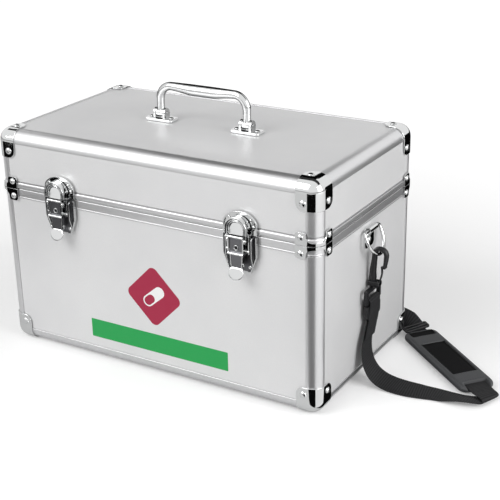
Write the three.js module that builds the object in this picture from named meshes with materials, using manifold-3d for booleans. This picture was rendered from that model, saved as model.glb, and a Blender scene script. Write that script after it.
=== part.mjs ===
// Aluminium-framed medicine carry case: a lockable box with a rear-hinged lid, two key latches,
// a folding top handle and a clip-on shoulder strap that lies on the floor beside it.
// Millimetres, +Z up. The front faces -Y and the case stands on z = 0.
import * as THREE from "three";
import { RoundedBoxGeometry } from "three/addons/geometries/RoundedBoxGeometry.js";
import { mergeVertices } from "three/addons/utils/BufferGeometryUtils.js";
import Module from "manifold-3d";

const wasm = await Module();
wasm.setup();

// Case
const CASE_WIDTH = 400;
const CASE_DEPTH = 225;
const CASE_HEIGHT = 254;
const LID_HEIGHT = 66; // from the seam to the top
const SEAM_GAP = 0.6;
const EDGE_RADIUS = 13;
const FRAME_BORDER = 14; // how wide the frame shows on each face
const FRAME_WALL = 6;
const PANEL_THICKNESS = 5.4;
const PANEL_INSET = 0.6;
const FLOOR_STEP = 0.3; // the floor's edge is stepped up where the caps' wings lie under it
const FIT = 0.3; // clearance between pieces that touch
const OVERRUN = 5; // how far every cut runs past what it cuts
const WELD = 0.001; // vertices nearer than this are one

// Rims at the seam
const BODY_RIM_HEIGHT = 10.2;
const LID_RIM_HEIGHT = 8;
const RIM_PROUD = 0.3;
const BEAD_HEIGHT = 1.6;
const BEAD_PROUD = 0.6;
const RIB_HEIGHT = 5;
const RIB_PROUD = 0.9;
const RIB_RISE = 1.7; // from the lid's lower edge to its rib
const TONGUE_HEIGHT = 2.5;
const TONGUE_WIDTH = 1.5;

// Corner caps and seam brackets
const CAP_THICKNESS = 0.9;
const CAP_REACH_X = 25;
const CAP_REACH_Y = 27;
const CAP_REACH_Z = 31;
const CAP_ROUNDING = 9;
const CAP_RIVET_INSET = 8; // from a wing's two free edges
const CAP_TOP_RIVET_INSET = 10.6;
const CORNER_BLOCK = 70;
const RIVET_RADIUS = 3.7;
const RIVET_DOME = 1.9;
const PLATE_STANDOFF = RIB_PROUD + FIT; // what bridges the rims clears the rib
const BRACKET_THICKNESS = 1;
const BRACKET_REACH = 25;
const BRACKET_EAR_WIDTH = 12;
const BRACKET_RISE = 13.5;
const BRACKET_STRIP = 3.3;
const BRACKET_FILLET = 8;
const BRACKET_ROUNDING = 3;
const BRACKET_RIVET_RADIUS = 3.4;

// Latches
const LATCH_END_INSET = 86; // from the case's end to a latch's middle
const STRIKE_HALF_WIDTH = 19.5;
const STRIKE_RISE = 24;
const PLATE_THICKNESS = 1.2;
const STRIKE_RIM_WIDTH = 2.2;
const STRIKE_RIM_PROUD = 1.6;
const CATCH_HALF_WIDTH = 5;
const CATCH_RISE = 17;
const CATCH_THICKNESS = 3.6;
const CATCH_REACH = 5.2;
const BASE_DROP = 39; // from the seam down to the base plate's foot
const BASE_SHOULDER = 22;
const BASE_FOOT_HALF_WIDTH = 13;
const BASE_WALL_WIDTH = 1.5;
const BASE_WALL_PROUD = 2.4;
const LEVER_HALF_WIDTH = 9;
const LEVER_WALL = 1.2;
const LEVER_FACE = 13; // how far the lever's face stands off the case
const LEVER_DEPTH = 7.5;
const LEVER_PIVOT_DROP = 4; // below the seam
const LEVER_PIVOT_OUT = 10;
const LEVER_TOP_RISE = 5.5; // above its pivot
const LEVER_RIDGE_DROP = 18; // between the lever's two ridges
const RIDGE_HEIGHT = 2.6;
const RIDGE_PROUD = 1.2;
const PANEL_RECESS = 1.6;
const NECK_TOP_HALF_WIDTH = 7.6;
const NECK_FOOT_HALF_WIDTH = 6.2;
const NECK_DROP = 29.5; // from the pivot to the tab
const TAB_HALF_WIDTH = 8.5;
const TAB_DROP = 41;
const TAB_LIFT = 1.2;
const HASP_HALF_WIDTH = 13;
const HASP_BAND = 2;
const HASP_TOP_RISE = 20.7; // above the seam
const HASP_FACE_RISE = 3.6;
const HASP_BACK = 4;
const HASP_ARM_DEPTH = 4.2;
const HASP_FACE_RECESS = 2;
const HASP_PIVOT_DROP = 11; // below the lever's pivot
const HASP_PIVOT_IN = 2; // nearer the case than the lever's pivot
const HASP_ARM_FOOT = 3;
const LATCH_PIN_RADIUS = 1.3;
const PIN_CLEARANCE = 0.35;
const LUG_WIDTH = 1.3;
const LUG_HALF_HEIGHT = 3;
const LOCK_RADIUS = 3;
const LOCK_DROP = 7.6; // below the lever's pivot
const LOCK_PROUD = 0.5;
const LOCK_LENGTH = 4.5;
const KEY_SLOT_WIDTH = 0.9;
const KEY_SLOT_LENGTH = 3.6;
const KEY_SLOT_DEPTH = 1.5;
const LATCH_RIVET_RADIUS = 2.4;
const LATCH_RIVET_DOME = 1.2;

// Handle
const HANDLE_SPACING = 111; // between its two legs
const HANDLE_RISE = 31.4; // from the pivots to the grip's centreline
const HANDLE_CORNER = 15;
const HANDLE_PIVOT_RISE = 9;
const HANDLE_EYE_RADIUS = 4.8;
const LEG_HALF_WIDTH = 4.4;
const LEG_HALF_DEPTH = 4.2;
const SHOULDER_HALF_HEIGHT = 4.8;
const GRIP_HALF_HEIGHT = 6.4;
const GRIP_HALF_DEPTH = 6;
const GRIP_TAPER = 16; // how far the grip's ends run out to the corners
const HANDLE_PLATE_LENGTH = 36;
const HANDLE_PLATE_WIDTH = 17;
const HANDLE_PLATE_THICKNESS = 3;
const HANDLE_PIN_RADIUS = 1.7;
const EAR_THICKNESS = 2.8;
const EAR_RADIUS = 5.4;

// Carrying rings on the two ends
const RING_Y = 1;
const RING_SEAM_DROP = 18; // from the seam to the ring's pivot
const RING_WIRE_RADIUS = 1.8;
const RING_HALF_WIDTH = 18;
const RING_DROP = 28.4;
const RING_SHOULDER = 8;
const RING_TILT = 0.389; // radians, held off the case by the strap's hook
const RING_BARREL_WALL = 1.5;
const RING_BARREL_LENGTH = 18;
const RING_PLATE_HALF_WIDTH = 11;
const RING_PLATE_DROP = 21;
const RING_PLATE_THICKNESS = 1.4;
const RING_RIVET_DROP = 13;

// Rear hinge
const HINGE_END_INSET = 30; // clear of the seam brackets
const HINGE_BARREL_RADIUS = 3;
const HINGE_PIN_RADIUS = 1.3;
const HINGE_LEAF_THICKNESS = 1.2;
const HINGE_LEAF_HEIGHT = 15;
const HINGE_KNUCKLES = 5;
const KNUCKLE_GAP = 0.5;

// Strap hooks, in the plane that stands square to the case's end
const STEM_OUT = 5.8; // from the case's end to the swivel's axis
const HOOK_COLLAR_DROP = 64; // below the ring's pivot
const COLLAR_RISE = 6;
const COLLAR_IN = 4.6;
const COLLAR_OUT = 8.8;
const COLLAR_HALF_WIDTH = 5;
const STEM_HALF_WIDTH = 4.4;
const HOOK_HALF_THICKNESS = 3.5;
const CROOK_DROP = 28; // below the ring's pivot
const CROOK_OUT = 14.4;
const CROOK_INNER_RADIUS = 4;
const CROOK_HALF_WIDTH = 2.6;
const CROOK_TIP_HALF_WIDTH = 1.9;
const CROOK_TIP_DROP = 13.5;
const CROOK_TIP_IN = 2;
const GATE_PIVOT_OUT = 12.2;
const GATE_PIVOT_RISE = 3.4;
const GATE_LENGTH = 19.6;
const GATE_TIP_OUT = 3.6;
const GATE_BOW = 2;
const GATE_THICKNESS = 1.5;
const GATE_HALF_WIDTH = 2.3;
const SWIVEL_PIN_RADIUS = 1.7;
const SWIVEL_PIN_RISE = 4;
const EYE_CLEARANCE = 1.6; // between the eye and the collar above it
const EYE_BOSS_RADIUS = 3.4;
const EYE_BOSS_RISE = 1.2;
const EYE_RISE = 16.4;
const EYE_HALF_WIDTH = 17.5;
const EYE_BAR = 3.8;

// Strap
const WEBBING_WIDTH = 25;
const WEBBING_THICKNESS = 1.8;
const SLIDER_DROP = 34.4; // from the eye's top to the slider's foot
const WEBBING_CLEARANCE = 0.8; // below the eye, where the hanging webbing starts
const SLIDER_RISE = 16;
const SLIDER_HALF_WIDTH = 15.5;
const SLIDER_THICKNESS = 5;
const PAD_LENGTH = 144;
const PAD_WIDTH = 41;
const PAD_THICKNESS = 9.5;
const PAD_CORNER = 11;
const PAD_BEVEL = 2.6;
const PAD_LIFT = 0.4;
const PAD_CHANNEL_DEPTH = 1.4;
const PAD_BORDER = 5;
const PAD_NEAR_BAND = 31; // from the pad's end to its sunk fabric, at the end nearest the fold
const PAD_FAR_BAND = 37.4; // the same at its other end
const PAD_MOUTH = 13; // open stretch at the end nearest the fold, where the webbing comes out
const PAD_SLOT_HEIGHT = 5;
const PAD_SLOT_RISE = 3;

// Inside
const LINING_THICKNESS = 1.5;
const LINING_CORNER = 7;
const LINING_TOP_DROP = 3; // below the rim's top
const LEDGE_DEPTH = 9;
const LEDGE_THICKNESS = 14;
const LEDGE_SEAM_DROP = 42; // from the seam to the ledge that carries the tray
const TRAY_HEIGHT = 34;
const TRAY_WALL = 1.8;
const TRAY_CORNER = 5;
const TRAY_CLEARANCE = 1;
const TRAY_COLUMNS = 3;

// Facets
const EDGE_SEGMENTS = 2;
const ARC_STEPS = 4;
const ROUND_SIDES = 12;
const RIVET_SIDES = 8;
const RIVET_PHASE = 0.17; // radians, so that no facet lines up with a plate's own

// Derived places
const SEAM_HEIGHT = CASE_HEIGHT - LID_HEIGHT;
const BOX_BOTTOM = FIT + CAP_THICKNESS; // the caps below it touch the floor
const BODY_RIM_TOP = SEAM_HEIGHT - SEAM_GAP / 2;
const BODY_RIM_BOTTOM = BODY_RIM_TOP - BODY_RIM_HEIGHT;
const LID_RIM_BOTTOM = SEAM_HEIGHT + SEAM_GAP / 2;
const LID_RIM_TOP = LID_RIM_BOTTOM + LID_RIM_HEIGHT;
const HALF_WIDTH = CASE_WIDTH / 2;
const HALF_DEPTH = CASE_DEPTH / 2;
const LID_SURFACE = CASE_HEIGHT - PANEL_INSET;
const LINING_OUT = FRAME_WALL + FIT; // from the case's outside to the lining
const LEDGE_TOP_HEIGHT = SEAM_HEIGHT - LEDGE_SEAM_DROP;
const LATCH_SPACING = CASE_WIDTH - 2 * LATCH_END_INSET;
const HINGE_LENGTH = CASE_WIDTH - 2 * HINGE_END_INSET;
const RING_PIVOT_HEIGHT = SEAM_HEIGHT - RING_SEAM_DROP;
const CROOK_HEIGHT = RING_PIVOT_HEIGHT - CROOK_DROP;
const HOOK_COLLAR_HEIGHT = RING_PIVOT_HEIGHT - HOOK_COLLAR_DROP;
const EYE_TOP_HEIGHT = HOOK_COLLAR_HEIGHT - EYE_CLEARANCE;
const SLIDER_HEIGHT = EYE_TOP_HEIGHT - SLIDER_DROP;
const WEBBING_TOP = EYE_TOP_HEIGHT - EYE_RISE - WEBBING_CLEARANCE;

// Finishes
const aluminium = { color: 0xd6d6d6, roughness: 0.42, metalness: 0.55 };
const panelSheet = { color: 0xcfcfcf, roughness: 0.5, metalness: 0.4 };
const chrome = { color: 0xe8e8e8, roughness: 0.12, metalness: 1 };
const foam = { color: 0x3a3b3d, roughness: 0.95, metalness: 0 };
const greyPlastic = { color: 0x8f9296, roughness: 0.5, metalness: 0 };
const blackPlastic = { color: 0x1a1a1b, roughness: 0.5, metalness: 0 };
const blackFabric = { color: 0x1d1d1f, roughness: 0.9, metalness: 0 };

// Shape helpers

// A closed geometry as a solid that can be joined and cut.
function solid(geometry) {
  const bare = geometry.clone();
  bare.deleteAttribute("normal");
  bare.deleteAttribute("uv");
  const merged = mergeVertices(bare, WELD);
  return new wasm.Manifold(
    new wasm.Mesh({
      numProp: 3,
      vertProperties: merged.attributes.position.array,
      triVerts: new Uint32Array(merged.index.array),
    }),
  );
}

function geometryOf(made) {
  const { vertProperties, triVerts } = made.getMesh();
  return new THREE.BufferGeometry()
    .setAttribute("position", new THREE.BufferAttribute(vertProperties, 3))
    .setIndex(new THREE.BufferAttribute(triVerts, 1));
}

function join(solids) {
  return solids.reduce((whole, piece) => whole.add(piece));
}

function piece(name, finish, shape) {
  const geometry = shape.isBufferGeometry ? shape : geometryOf(shape);
  geometry.computeVertexNormals();
  const mesh = new THREE.Mesh(geometry, new THREE.MeshStandardMaterial(finish));
  mesh.name = name;
  return mesh;
}

// A box between two opposite corners.
function block(low, high) {
  const size = high.map((value, axis) => value - low[axis]);
  const middle = high.map((value, axis) => (value + low[axis]) / 2);
  return solid(new THREE.BoxGeometry(...size).translate(...middle));
}

// A drawn outline pushed out along the third axis, from one height to another.
function prism(outline, from, to) {
  const options = { depth: to - from, bevelEnabled: false, curveSegments: ARC_STEPS };
  return new THREE.ExtrudeGeometry(outline, options).translate(0, 0, from);
}

// The same outline drawn in the plane of two axes, with its depth along the third.
function prismFacing(outline, from, to, xAxis, yAxis, zAxis) {
  return prism(outline, from, to).applyMatrix4(new THREE.Matrix4().makeBasis(xAxis, yAxis, zAxis));
}

const X = new THREE.Vector3(1, 0, 0);
const Y = new THREE.Vector3(0, 1, 0);
const Z = new THREE.Vector3(0, 0, 1);

function roundedOutline(left, bottom, right, top, radius) {
  const outline = new THREE.Shape();
  outline.moveTo(left + radius, bottom);
  outline.lineTo(right - radius, bottom);
  outline.absarc(right - radius, bottom + radius, radius, -Math.PI / 2, 0);
  outline.lineTo(right, top - radius);
  outline.absarc(right - radius, top - radius, radius, 0, Math.PI / 2);
  outline.lineTo(left + radius, top);
  outline.absarc(left + radius, top - radius, radius, Math.PI / 2, Math.PI);
  outline.lineTo(left, bottom + radius);
  outline.absarc(left + radius, bottom + radius, radius, Math.PI, 1.5 * Math.PI);
  return outline;
}

// An outline with straight sides and a half-round top.
function archOutline(halfWidth, bottom, top) {
  const outline = new THREE.Shape();
  outline.moveTo(-halfWidth, bottom);
  outline.lineTo(halfWidth, bottom);
  outline.lineTo(halfWidth, top - halfWidth);
  outline.absarc(0, top - halfWidth, halfWidth, 0, Math.PI);
  outline.lineTo(-halfWidth, bottom);
  return outline;
}

function polygon(points) {
  return new THREE.Shape(points.map(([x, y]) => new THREE.Vector2(x, y)));
}

// A round bar along local X.
function barX(radius, from, to, y, z, sides = ROUND_SIDES) {
  const bar = new THREE.CylinderGeometry(radius, radius, to - from, sides).rotateZ(Math.PI / 2);
  return solid(bar.translate((from + to) / 2, y, z));
}

// A round bar along local Z.
function barZ(radius, x, y, from, to, sides = ROUND_SIDES) {
  const bar = new THREE.CylinderGeometry(radius, radius, to - from, sides).rotateX(Math.PI / 2);
  return solid(bar.translate(x, y, (from + to) / 2));
}

// A domed rivet head whose shank runs down from its seat, pointing along local Z.
function rivet(x, y, seat, foot, radius, dome) {
  const shankShare = 0.6;
  const profile = [
    [0, foot],
    [radius * shankShare, foot],
    [radius * shankShare, seat],
    [radius, seat],
    [radius * Math.cos(Math.PI / 4), seat + dome * Math.sin(Math.PI / 4)],
    [0, seat + dome],
  ];
  const points = profile.map(([r, h]) => new THREE.Vector2(r, h));
  const head = new THREE.LatheGeometry(points, RIVET_SIDES, RIVET_PHASE).rotateX(Math.PI / 2);
  return solid(head.translate(x, y, 0));
}

// A closed surface through rings of points, each ring counterclockwise about the way it goes.
// A looped one joins its last ring to its first; any other is capped.
function loft(rings, looped = false) {
  const count = rings[0].length;
  const positions = rings.flatMap((ring) => ring.flatMap((point) => point.toArray()));
  const index = [];
  const spans = looped ? rings.length : rings.length - 1;
  for (let i = 0; i < spans; i++) {
    const here = i * count;
    const there = ((i + 1) % rings.length) * count;
    for (let j = 0; j < count; j++) {
      const next = (j + 1) % count;
      index.push(here + j, here + next, there + next);
      index.push(here + j, there + next, there + j);
    }
  }
  if (!looped) {
    const last = (rings.length - 1) * count;
    for (let j = 1; j < count - 1; j++) {
      index.push(0, j + 1, j);
      index.push(last, last + j, last + j + 1);
    }
  }
  return new THREE.BufferGeometry()
    .setAttribute("position", new THREE.Float32BufferAttribute(positions, 3))
    .setIndex(index);
}

// An oval bar swept along points of one plane. Each station has its half size in the plane and across it.
function sweepInPlane(stations, normal, sides, looped = false) {
  const rings = stations.map(({ point, inPlane, across }, i) => {
    const before = stations[looped ? (i + stations.length - 1) % stations.length : Math.max(i - 1, 0)];
    const after = stations[looped ? (i + 1) % stations.length : Math.min(i + 1, stations.length - 1)];
    const along = after.point.clone().sub(before.point).normalize();
    const side = along.clone().cross(normal);
    return Array.from({ length: sides }, (_, k) => {
      const angle = ((k + 0.5) * 2 * Math.PI) / sides;
      return point
        .clone()
        .addScaledVector(normal, across * Math.cos(angle))
        .addScaledVector(side, inPlane * Math.sin(angle));
    });
  });
  return loft(rings, looped);
}

// A flat strip through stations, each with its middle and the vector from there to its edge.
function ribbon(stations, thickness) {
  const rings = stations.map(({ middle, edge }, i) => {
    const before = stations[Math.max(i - 1, 0)].middle;
    const after = stations[Math.min(i + 1, stations.length - 1)].middle;
    const along = after.clone().sub(before).normalize();
    const face = along.clone().cross(edge).normalize().multiplyScalar(thickness / 2);
    return [
      middle.clone().add(edge).add(face),
      middle.clone().sub(edge).add(face),
      middle.clone().sub(edge).sub(face),
      middle.clone().add(edge).sub(face),
    ];
  });
  return loft(rings);
}

// A rounded rectangle's ring in plan: a profile of [outward, height] pairs carried round the case.
function ringAround(profile) {
  const rings = [];
  const signs = [
    [1, 1],
    [-1, 1],
    [-1, -1],
    [1, -1],
  ];
  signs.forEach(([sx, sy], corner) => {
    for (let step = 0; step <= ARC_STEPS; step++) {
      const angle = ((corner + step / ARC_STEPS) * Math.PI) / 2;
      const outward = new THREE.Vector3(Math.cos(angle), Math.sin(angle), 0);
      const centre = new THREE.Vector3(
        sx * (HALF_WIDTH - EDGE_RADIUS),
        sy * (HALF_DEPTH - EDGE_RADIUS),
        0,
      );
      rings.push(
        profile.map(([offset, height]) =>
          centre.clone().addScaledVector(outward, EDGE_RADIUS + offset).setZ(height),
        ),
      );
    }
  });
  return loft(rings.reverse(), true);
}

// Turns a group so that its local Z leaves one side of the case: 0 is the front, 1 the right end,
// 2 the back and -1 the left end. Local Y stays up.
function sideGroup(turns) {
  const group = new THREE.Group();
  group.rotation.set(Math.PI / 2, 0, (turns * Math.PI) / 2, "ZYX");
  const distance = turns % 2 ? HALF_WIDTH : HALF_DEPTH;
  group.position.copy(Y).applyAxisAngle(Z, (turns * Math.PI) / 2).multiplyScalar(-distance);
  return group;
}

// The case's shell

function caseFrame(name, low, high) {
  const all = Math.max(CASE_WIDTH, CASE_DEPTH, CASE_HEIGHT);
  const whole = new RoundedBoxGeometry(
    CASE_WIDTH,
    CASE_DEPTH,
    CASE_HEIGHT - BOX_BOTTOM,
    EDGE_SEGMENTS,
    EDGE_RADIUS,
  ).translate(0, 0, (CASE_HEIGHT + BOX_BOTTOM) / 2);
  const hollowX = HALF_WIDTH - FRAME_WALL;
  const hollowY = HALF_DEPTH - FRAME_WALL;
  const openX = HALF_WIDTH - FRAME_BORDER;
  const openY = HALF_DEPTH - FRAME_BORDER;
  const openLow = BOX_BOTTOM + FRAME_BORDER;
  const openHigh = CASE_HEIGHT - FRAME_BORDER;
  const made = solid(whole)
    .intersect(block([-all, -all, low], [all, all, high]))
    .subtract(
      block(
        [-hollowX, -hollowY, BOX_BOTTOM + FRAME_WALL],
        [hollowX, hollowY, CASE_HEIGHT - FRAME_WALL],
      ),
    )
    .subtract(block([-all, -openY, openLow], [all, openY, openHigh]))
    .subtract(block([-openX, -all, openLow], [openX, all, openHigh]))
    .subtract(block([-openX, -openY, -OVERRUN], [openX, openY, all]));
  return piece(name, aluminium, made);
}

// A panel that fills one window of the frame. Front and back panels lie along X.
function sidePanel(name, alongX, sign, low, high) {
  const half = (alongX ? HALF_WIDTH : HALF_DEPTH) - FRAME_BORDER - FIT;
  const depth = (alongX ? HALF_DEPTH : HALF_WIDTH) - PANEL_INSET - PANEL_THICKNESS / 2;
  const size = alongX ? [2 * half, PANEL_THICKNESS] : [PANEL_THICKNESS, 2 * half];
  const mesh = piece(name, panelSheet, new THREE.BoxGeometry(...size, high - low));
  mesh.position.set(alongX ? 0 : sign * depth, alongX ? sign * depth : 0, (low + high) / 2);
  return mesh;
}

// A flat board between two heights that reaches as far as it is told from the case's middle.
function flatBoard(inset, low, high) {
  const halfX = HALF_WIDTH - inset[0];
  const halfY = HALF_DEPTH - inset[1];
  return block([-halfX, -halfY, low], [halfX, halfY, high]);
}

const WINDOW_INSET = [FRAME_BORDER + FIT, FRAME_BORDER + FIT];

function topPanel() {
  const board = flatBoard(WINDOW_INSET, LID_SURFACE - PANEL_THICKNESS, LID_SURFACE);
  return piece("lid_top_panel", panelSheet, board);
}

// The floor's middle face is the one that a level surface can meet between the caps.
function floorPanel() {
  const low = BOX_BOTTOM + PANEL_INSET;
  const high = low + PANEL_THICKNESS;
  const middle = flatBoard([CAP_REACH_X + FIT, CAP_REACH_Y + FIT], low, high - FLOOR_STEP);
  return piece("body_floor_panel", panelSheet, flatBoard(WINDOW_INSET, low + FLOOR_STEP, high).add(middle));
}

function shellPanels(prefix, low, high) {
  return [
    sidePanel(prefix + "_front_panel", true, -1, low, high),
    sidePanel(prefix + "_back_panel", true, 1, low, high),
    sidePanel(prefix + "_left_panel", false, -1, low, high),
    sidePanel(prefix + "_right_panel", false, 1, low, high),
  ];
}

function bodyRim() {
  const bead = BODY_RIM_BOTTOM + BEAD_HEIGHT;
  const tongueTop = BODY_RIM_TOP + TONGUE_HEIGHT;
  const tongueOut = TONGUE_WIDTH - FRAME_WALL;
  return piece(
    "body_rim",
    aluminium,
    ringAround([
      [-FRAME_WALL, BODY_RIM_BOTTOM],
      [RIM_PROUD, BODY_RIM_BOTTOM],
      [BEAD_PROUD, BODY_RIM_BOTTOM + BEAD_HEIGHT / 3],
      [BEAD_PROUD, bead - BEAD_HEIGHT / 3],
      [RIM_PROUD, bead],
      [RIM_PROUD, BODY_RIM_TOP],
      [tongueOut, BODY_RIM_TOP],
      [tongueOut, tongueTop],
      [-FRAME_WALL, tongueTop],
    ]),
  );
}

function lidRim() {
  const ribLow = LID_RIM_BOTTOM + RIB_RISE;
  const rebate = BODY_RIM_TOP + TONGUE_HEIGHT + FIT;
  const tongueOut = TONGUE_WIDTH - FRAME_WALL + FIT;
  const rib = [0, 1, 2, 3, 4].map((step) => {
    const angle = (step / 4) * Math.PI;
    return [
      (RIB_PROUD - RIM_PROUD) * Math.sin(angle) + RIM_PROUD,
      ribLow + (RIB_HEIGHT * (1 - Math.cos(angle))) / 2,
    ];
  });
  return piece(
    "lid_rim",
    aluminium,
    ringAround([
      [tongueOut, LID_RIM_BOTTOM],
      [0, LID_RIM_BOTTOM],
      [0, ribLow],
      ...rib,
      [0, ribLow + RIB_HEIGHT],
      [0, LID_RIM_TOP],
      [-FRAME_WALL, LID_RIM_TOP],
      [-FRAME_WALL, rebate],
      [tongueOut, rebate],
    ]),
  );
}

// Corner caps and seam brackets are drawn at a corner whose three outward ways are +X, +Y and +Z.

function cornerBlock(growth) {
  const size = CORNER_BLOCK + growth;
  const middle = (growth - CORNER_BLOCK) / 2;
  const block = new RoundedBoxGeometry(size, size, size, EDGE_SEGMENTS, EDGE_RADIUS + growth);
  return solid(block.translate(middle, middle, middle));
}

// A wing's outline: it reaches back from the corner along both edges and rounds its inner corner.
function wingOutline(reachA, reachB, radius) {
  const outline = new THREE.Shape();
  outline.moveTo(OVERRUN, OVERRUN);
  outline.lineTo(-reachA, OVERRUN);
  outline.lineTo(-reachA, radius - reachB);
  outline.absarc(radius - reachA, radius - reachB, radius, Math.PI, 1.5 * Math.PI);
  outline.lineTo(OVERRUN, -reachB);
  return outline;
}

function cornerCap() {
  const wing = (reachA, reachB) => wingOutline(reachA, reachB, CAP_ROUNDING);
  const from = -EDGE_RADIUS / 2;
  const wings = join([
    solid(prism(wing(CAP_REACH_X, CAP_REACH_Y), from, OVERRUN)),
    solid(prismFacing(wing(CAP_REACH_Y, CAP_REACH_Z), from, OVERRUN, Y, Z, X)),
    solid(prismFacing(wing(CAP_REACH_Z, CAP_REACH_X), from, OVERRUN, Z, X, Y)),
  ]);
  const shell = cornerBlock(FIT + CAP_THICKNESS).subtract(cornerBlock(FIT)).intersect(wings);
  const seat = FIT + CAP_THICKNESS / 2;
  const head = (a, b) =>
    geometryOf(rivet(a, b, seat + CAP_THICKNESS / 2, seat, RIVET_RADIUS, RIVET_DOME));
  const sideHead = head(CAP_RIVET_INSET - CAP_REACH_Y, CAP_RIVET_INSET - CAP_REACH_Z);
  const frontHead = head(CAP_RIVET_INSET - CAP_REACH_Z, CAP_RIVET_INSET - CAP_REACH_X);
  return {
    shell,
    topHead: solid(head(CAP_RIVET_INSET - CAP_REACH_X, CAP_TOP_RIVET_INSET - CAP_REACH_Y)),
    sideHeads: join([
      solid(sideHead.applyMatrix4(new THREE.Matrix4().makeBasis(Y, Z, X))),
      solid(frontHead.applyMatrix4(new THREE.Matrix4().makeBasis(Z, X, Y))),
    ]),
  };
}

// One bracket at the seam, which is its z = 0: an ear on each face joined by a strip round the corner.
function seamBracket() {
  const back = PLATE_STANDOFF;
  const front = PLATE_STANDOFF + BRACKET_THICKNESS;
  const section = new THREE.Shape();
  section.moveTo(-CORNER_BLOCK, front);
  section.lineTo(-CORNER_BLOCK, back);
  section.lineTo(-EDGE_RADIUS, back);
  section.absarc(-EDGE_RADIUS, -EDGE_RADIUS, EDGE_RADIUS + back, Math.PI / 2, 0, true);
  section.lineTo(back, -CORNER_BLOCK);
  section.lineTo(front, -CORNER_BLOCK);
  section.lineTo(front, -EDGE_RADIUS);
  section.absarc(-EDGE_RADIUS, -EDGE_RADIUS, EDGE_RADIUS + front, 0, Math.PI / 2);
  const low = FIT;
  const earEnd = BRACKET_EAR_WIDTH - BRACKET_REACH;
  const ear = new THREE.Shape();
  ear.moveTo(-BRACKET_REACH, low);
  ear.lineTo(OVERRUN, low);
  ear.lineTo(OVERRUN, low + BRACKET_STRIP);
  ear.lineTo(earEnd + BRACKET_FILLET, low + BRACKET_STRIP);
  ear.quadraticCurveTo(earEnd, low + BRACKET_STRIP, earEnd, BRACKET_RISE);
  ear.lineTo(BRACKET_ROUNDING - BRACKET_REACH, BRACKET_RISE);
  ear.absarc(
    BRACKET_ROUNDING - BRACKET_REACH,
    BRACKET_RISE - BRACKET_ROUNDING,
    BRACKET_ROUNDING,
    Math.PI / 2,
    Math.PI,
  );
  const from = -EDGE_RADIUS / 2;
  const zxOutline = mirroredDiagonally(ear);
  const outlines = join([
    solid(prismFacing(ear, from, OVERRUN, Y, Z, X)),
    solid(prismFacing(zxOutline, from, OVERRUN, Z, X, Y)),
  ]);
  const shell = solid(prism(section, 0, BRACKET_RISE)).intersect(outlines);
  const middle = BRACKET_EAR_WIDTH / 2 - BRACKET_REACH;
  const rise = (BRACKET_RISE + BRACKET_STRIP) / 2;
  const head = (a, b) =>
    geometryOf(rivet(a, b, front, back, BRACKET_RIVET_RADIUS, RIVET_DOME));
  return join([
    shell,
    solid(head(middle, rise).applyMatrix4(new THREE.Matrix4().makeBasis(Y, Z, X))),
    solid(head(rise, middle).applyMatrix4(new THREE.Matrix4().makeBasis(Z, X, Y))),
  ]);
}

// The same outline with its two coordinates changed over and its direction kept.
function mirroredDiagonally(outline) {
  const points = outline.getPoints(ARC_STEPS).map((point) => new THREE.Vector2(point.y, point.x));
  return new THREE.Shape(points.reverse());
}

// The four corners seen from above, each with the sides that it belongs to.
const cornerSides = [
  { name: "front_left", x: -1, y: -1 },
  { name: "front_right", x: 1, y: -1 },
  { name: "back_left", x: -1, y: 1 },
  { name: "back_right", x: 1, y: 1 },
];

function atCorner(mesh, side, height, up) {
  mesh.position.set(side.x * HALF_WIDTH, side.y * HALF_DEPTH, height);
  mesh.scale.set(side.x, side.y, up);
  return mesh;
}

// The lower caps are what the case stands on, so they carry no rivet head below.
function corners(prefix, capHeight, up) {
  const cap = cornerCap();
  const capShape = up > 0 ? join([cap.shell, cap.sideHeads, cap.topHead]) : cap.shell.add(cap.sideHeads);
  const bracket = seamBracket();
  return cornerSides.flatMap((side) => [
    atCorner(piece(prefix + "_corner_" + side.name, chrome, capShape), side, capHeight, up),
    atCorner(piece(prefix + "_bracket_" + side.name, chrome, bracket), side, SEAM_HEIGHT, up),
  ]);
}

// Latch, in the front's local axes: X across, Y up from the seam, Z out of the case

function strike() {
  const back = PLATE_STANDOFF;
  const front = back + PLATE_THICKNESS;
  const low = SEAM_GAP;
  const inner = STRIKE_HALF_WIDTH - STRIKE_RIM_WIDTH;
  const outline = archPlate(STRIKE_HALF_WIDTH, low, STRIKE_RISE);
  const hole = archPlate(inner, low - OVERRUN, STRIKE_RISE - STRIKE_RIM_WIDTH);
  const rim = solid(prism(outline, back, front + STRIKE_RIM_PROUD)).subtract(
    solid(prism(hole, front, front + STRIKE_RIM_PROUD + OVERRUN)),
  );
  const keeper = block(
    [-CATCH_HALF_WIDTH, CATCH_RISE - CATCH_THICKNESS, back],
    [CATCH_HALF_WIDTH, CATCH_RISE, front + CATCH_REACH],
  );
  const rivetX = inner - LATCH_RIVET_RADIUS;
  const rivetY = (LID_RIM_HEIGHT + STRIKE_RISE) / 3;
  const heads = [-1, 1].map((side) =>
    rivet(side * rivetX, rivetY, front, FIT - PANEL_INSET, LATCH_RIVET_RADIUS, LATCH_RIVET_DOME),
  );
  return join([rim, keeper, ...heads]);
}

// A plate with a flattened arch for its top.
function archPlate(halfWidth, bottom, top) {
  const shoulderShare = 0.42;
  const shoulder = bottom + (top - bottom) * shoulderShare;
  const outline = new THREE.Shape();
  outline.moveTo(-halfWidth, bottom);
  outline.lineTo(halfWidth, bottom);
  outline.lineTo(halfWidth, shoulder);
  outline.absellipse(0, shoulder, halfWidth, top - shoulder, 0, Math.PI);
  outline.lineTo(-halfWidth, bottom);
  return outline;
}

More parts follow.
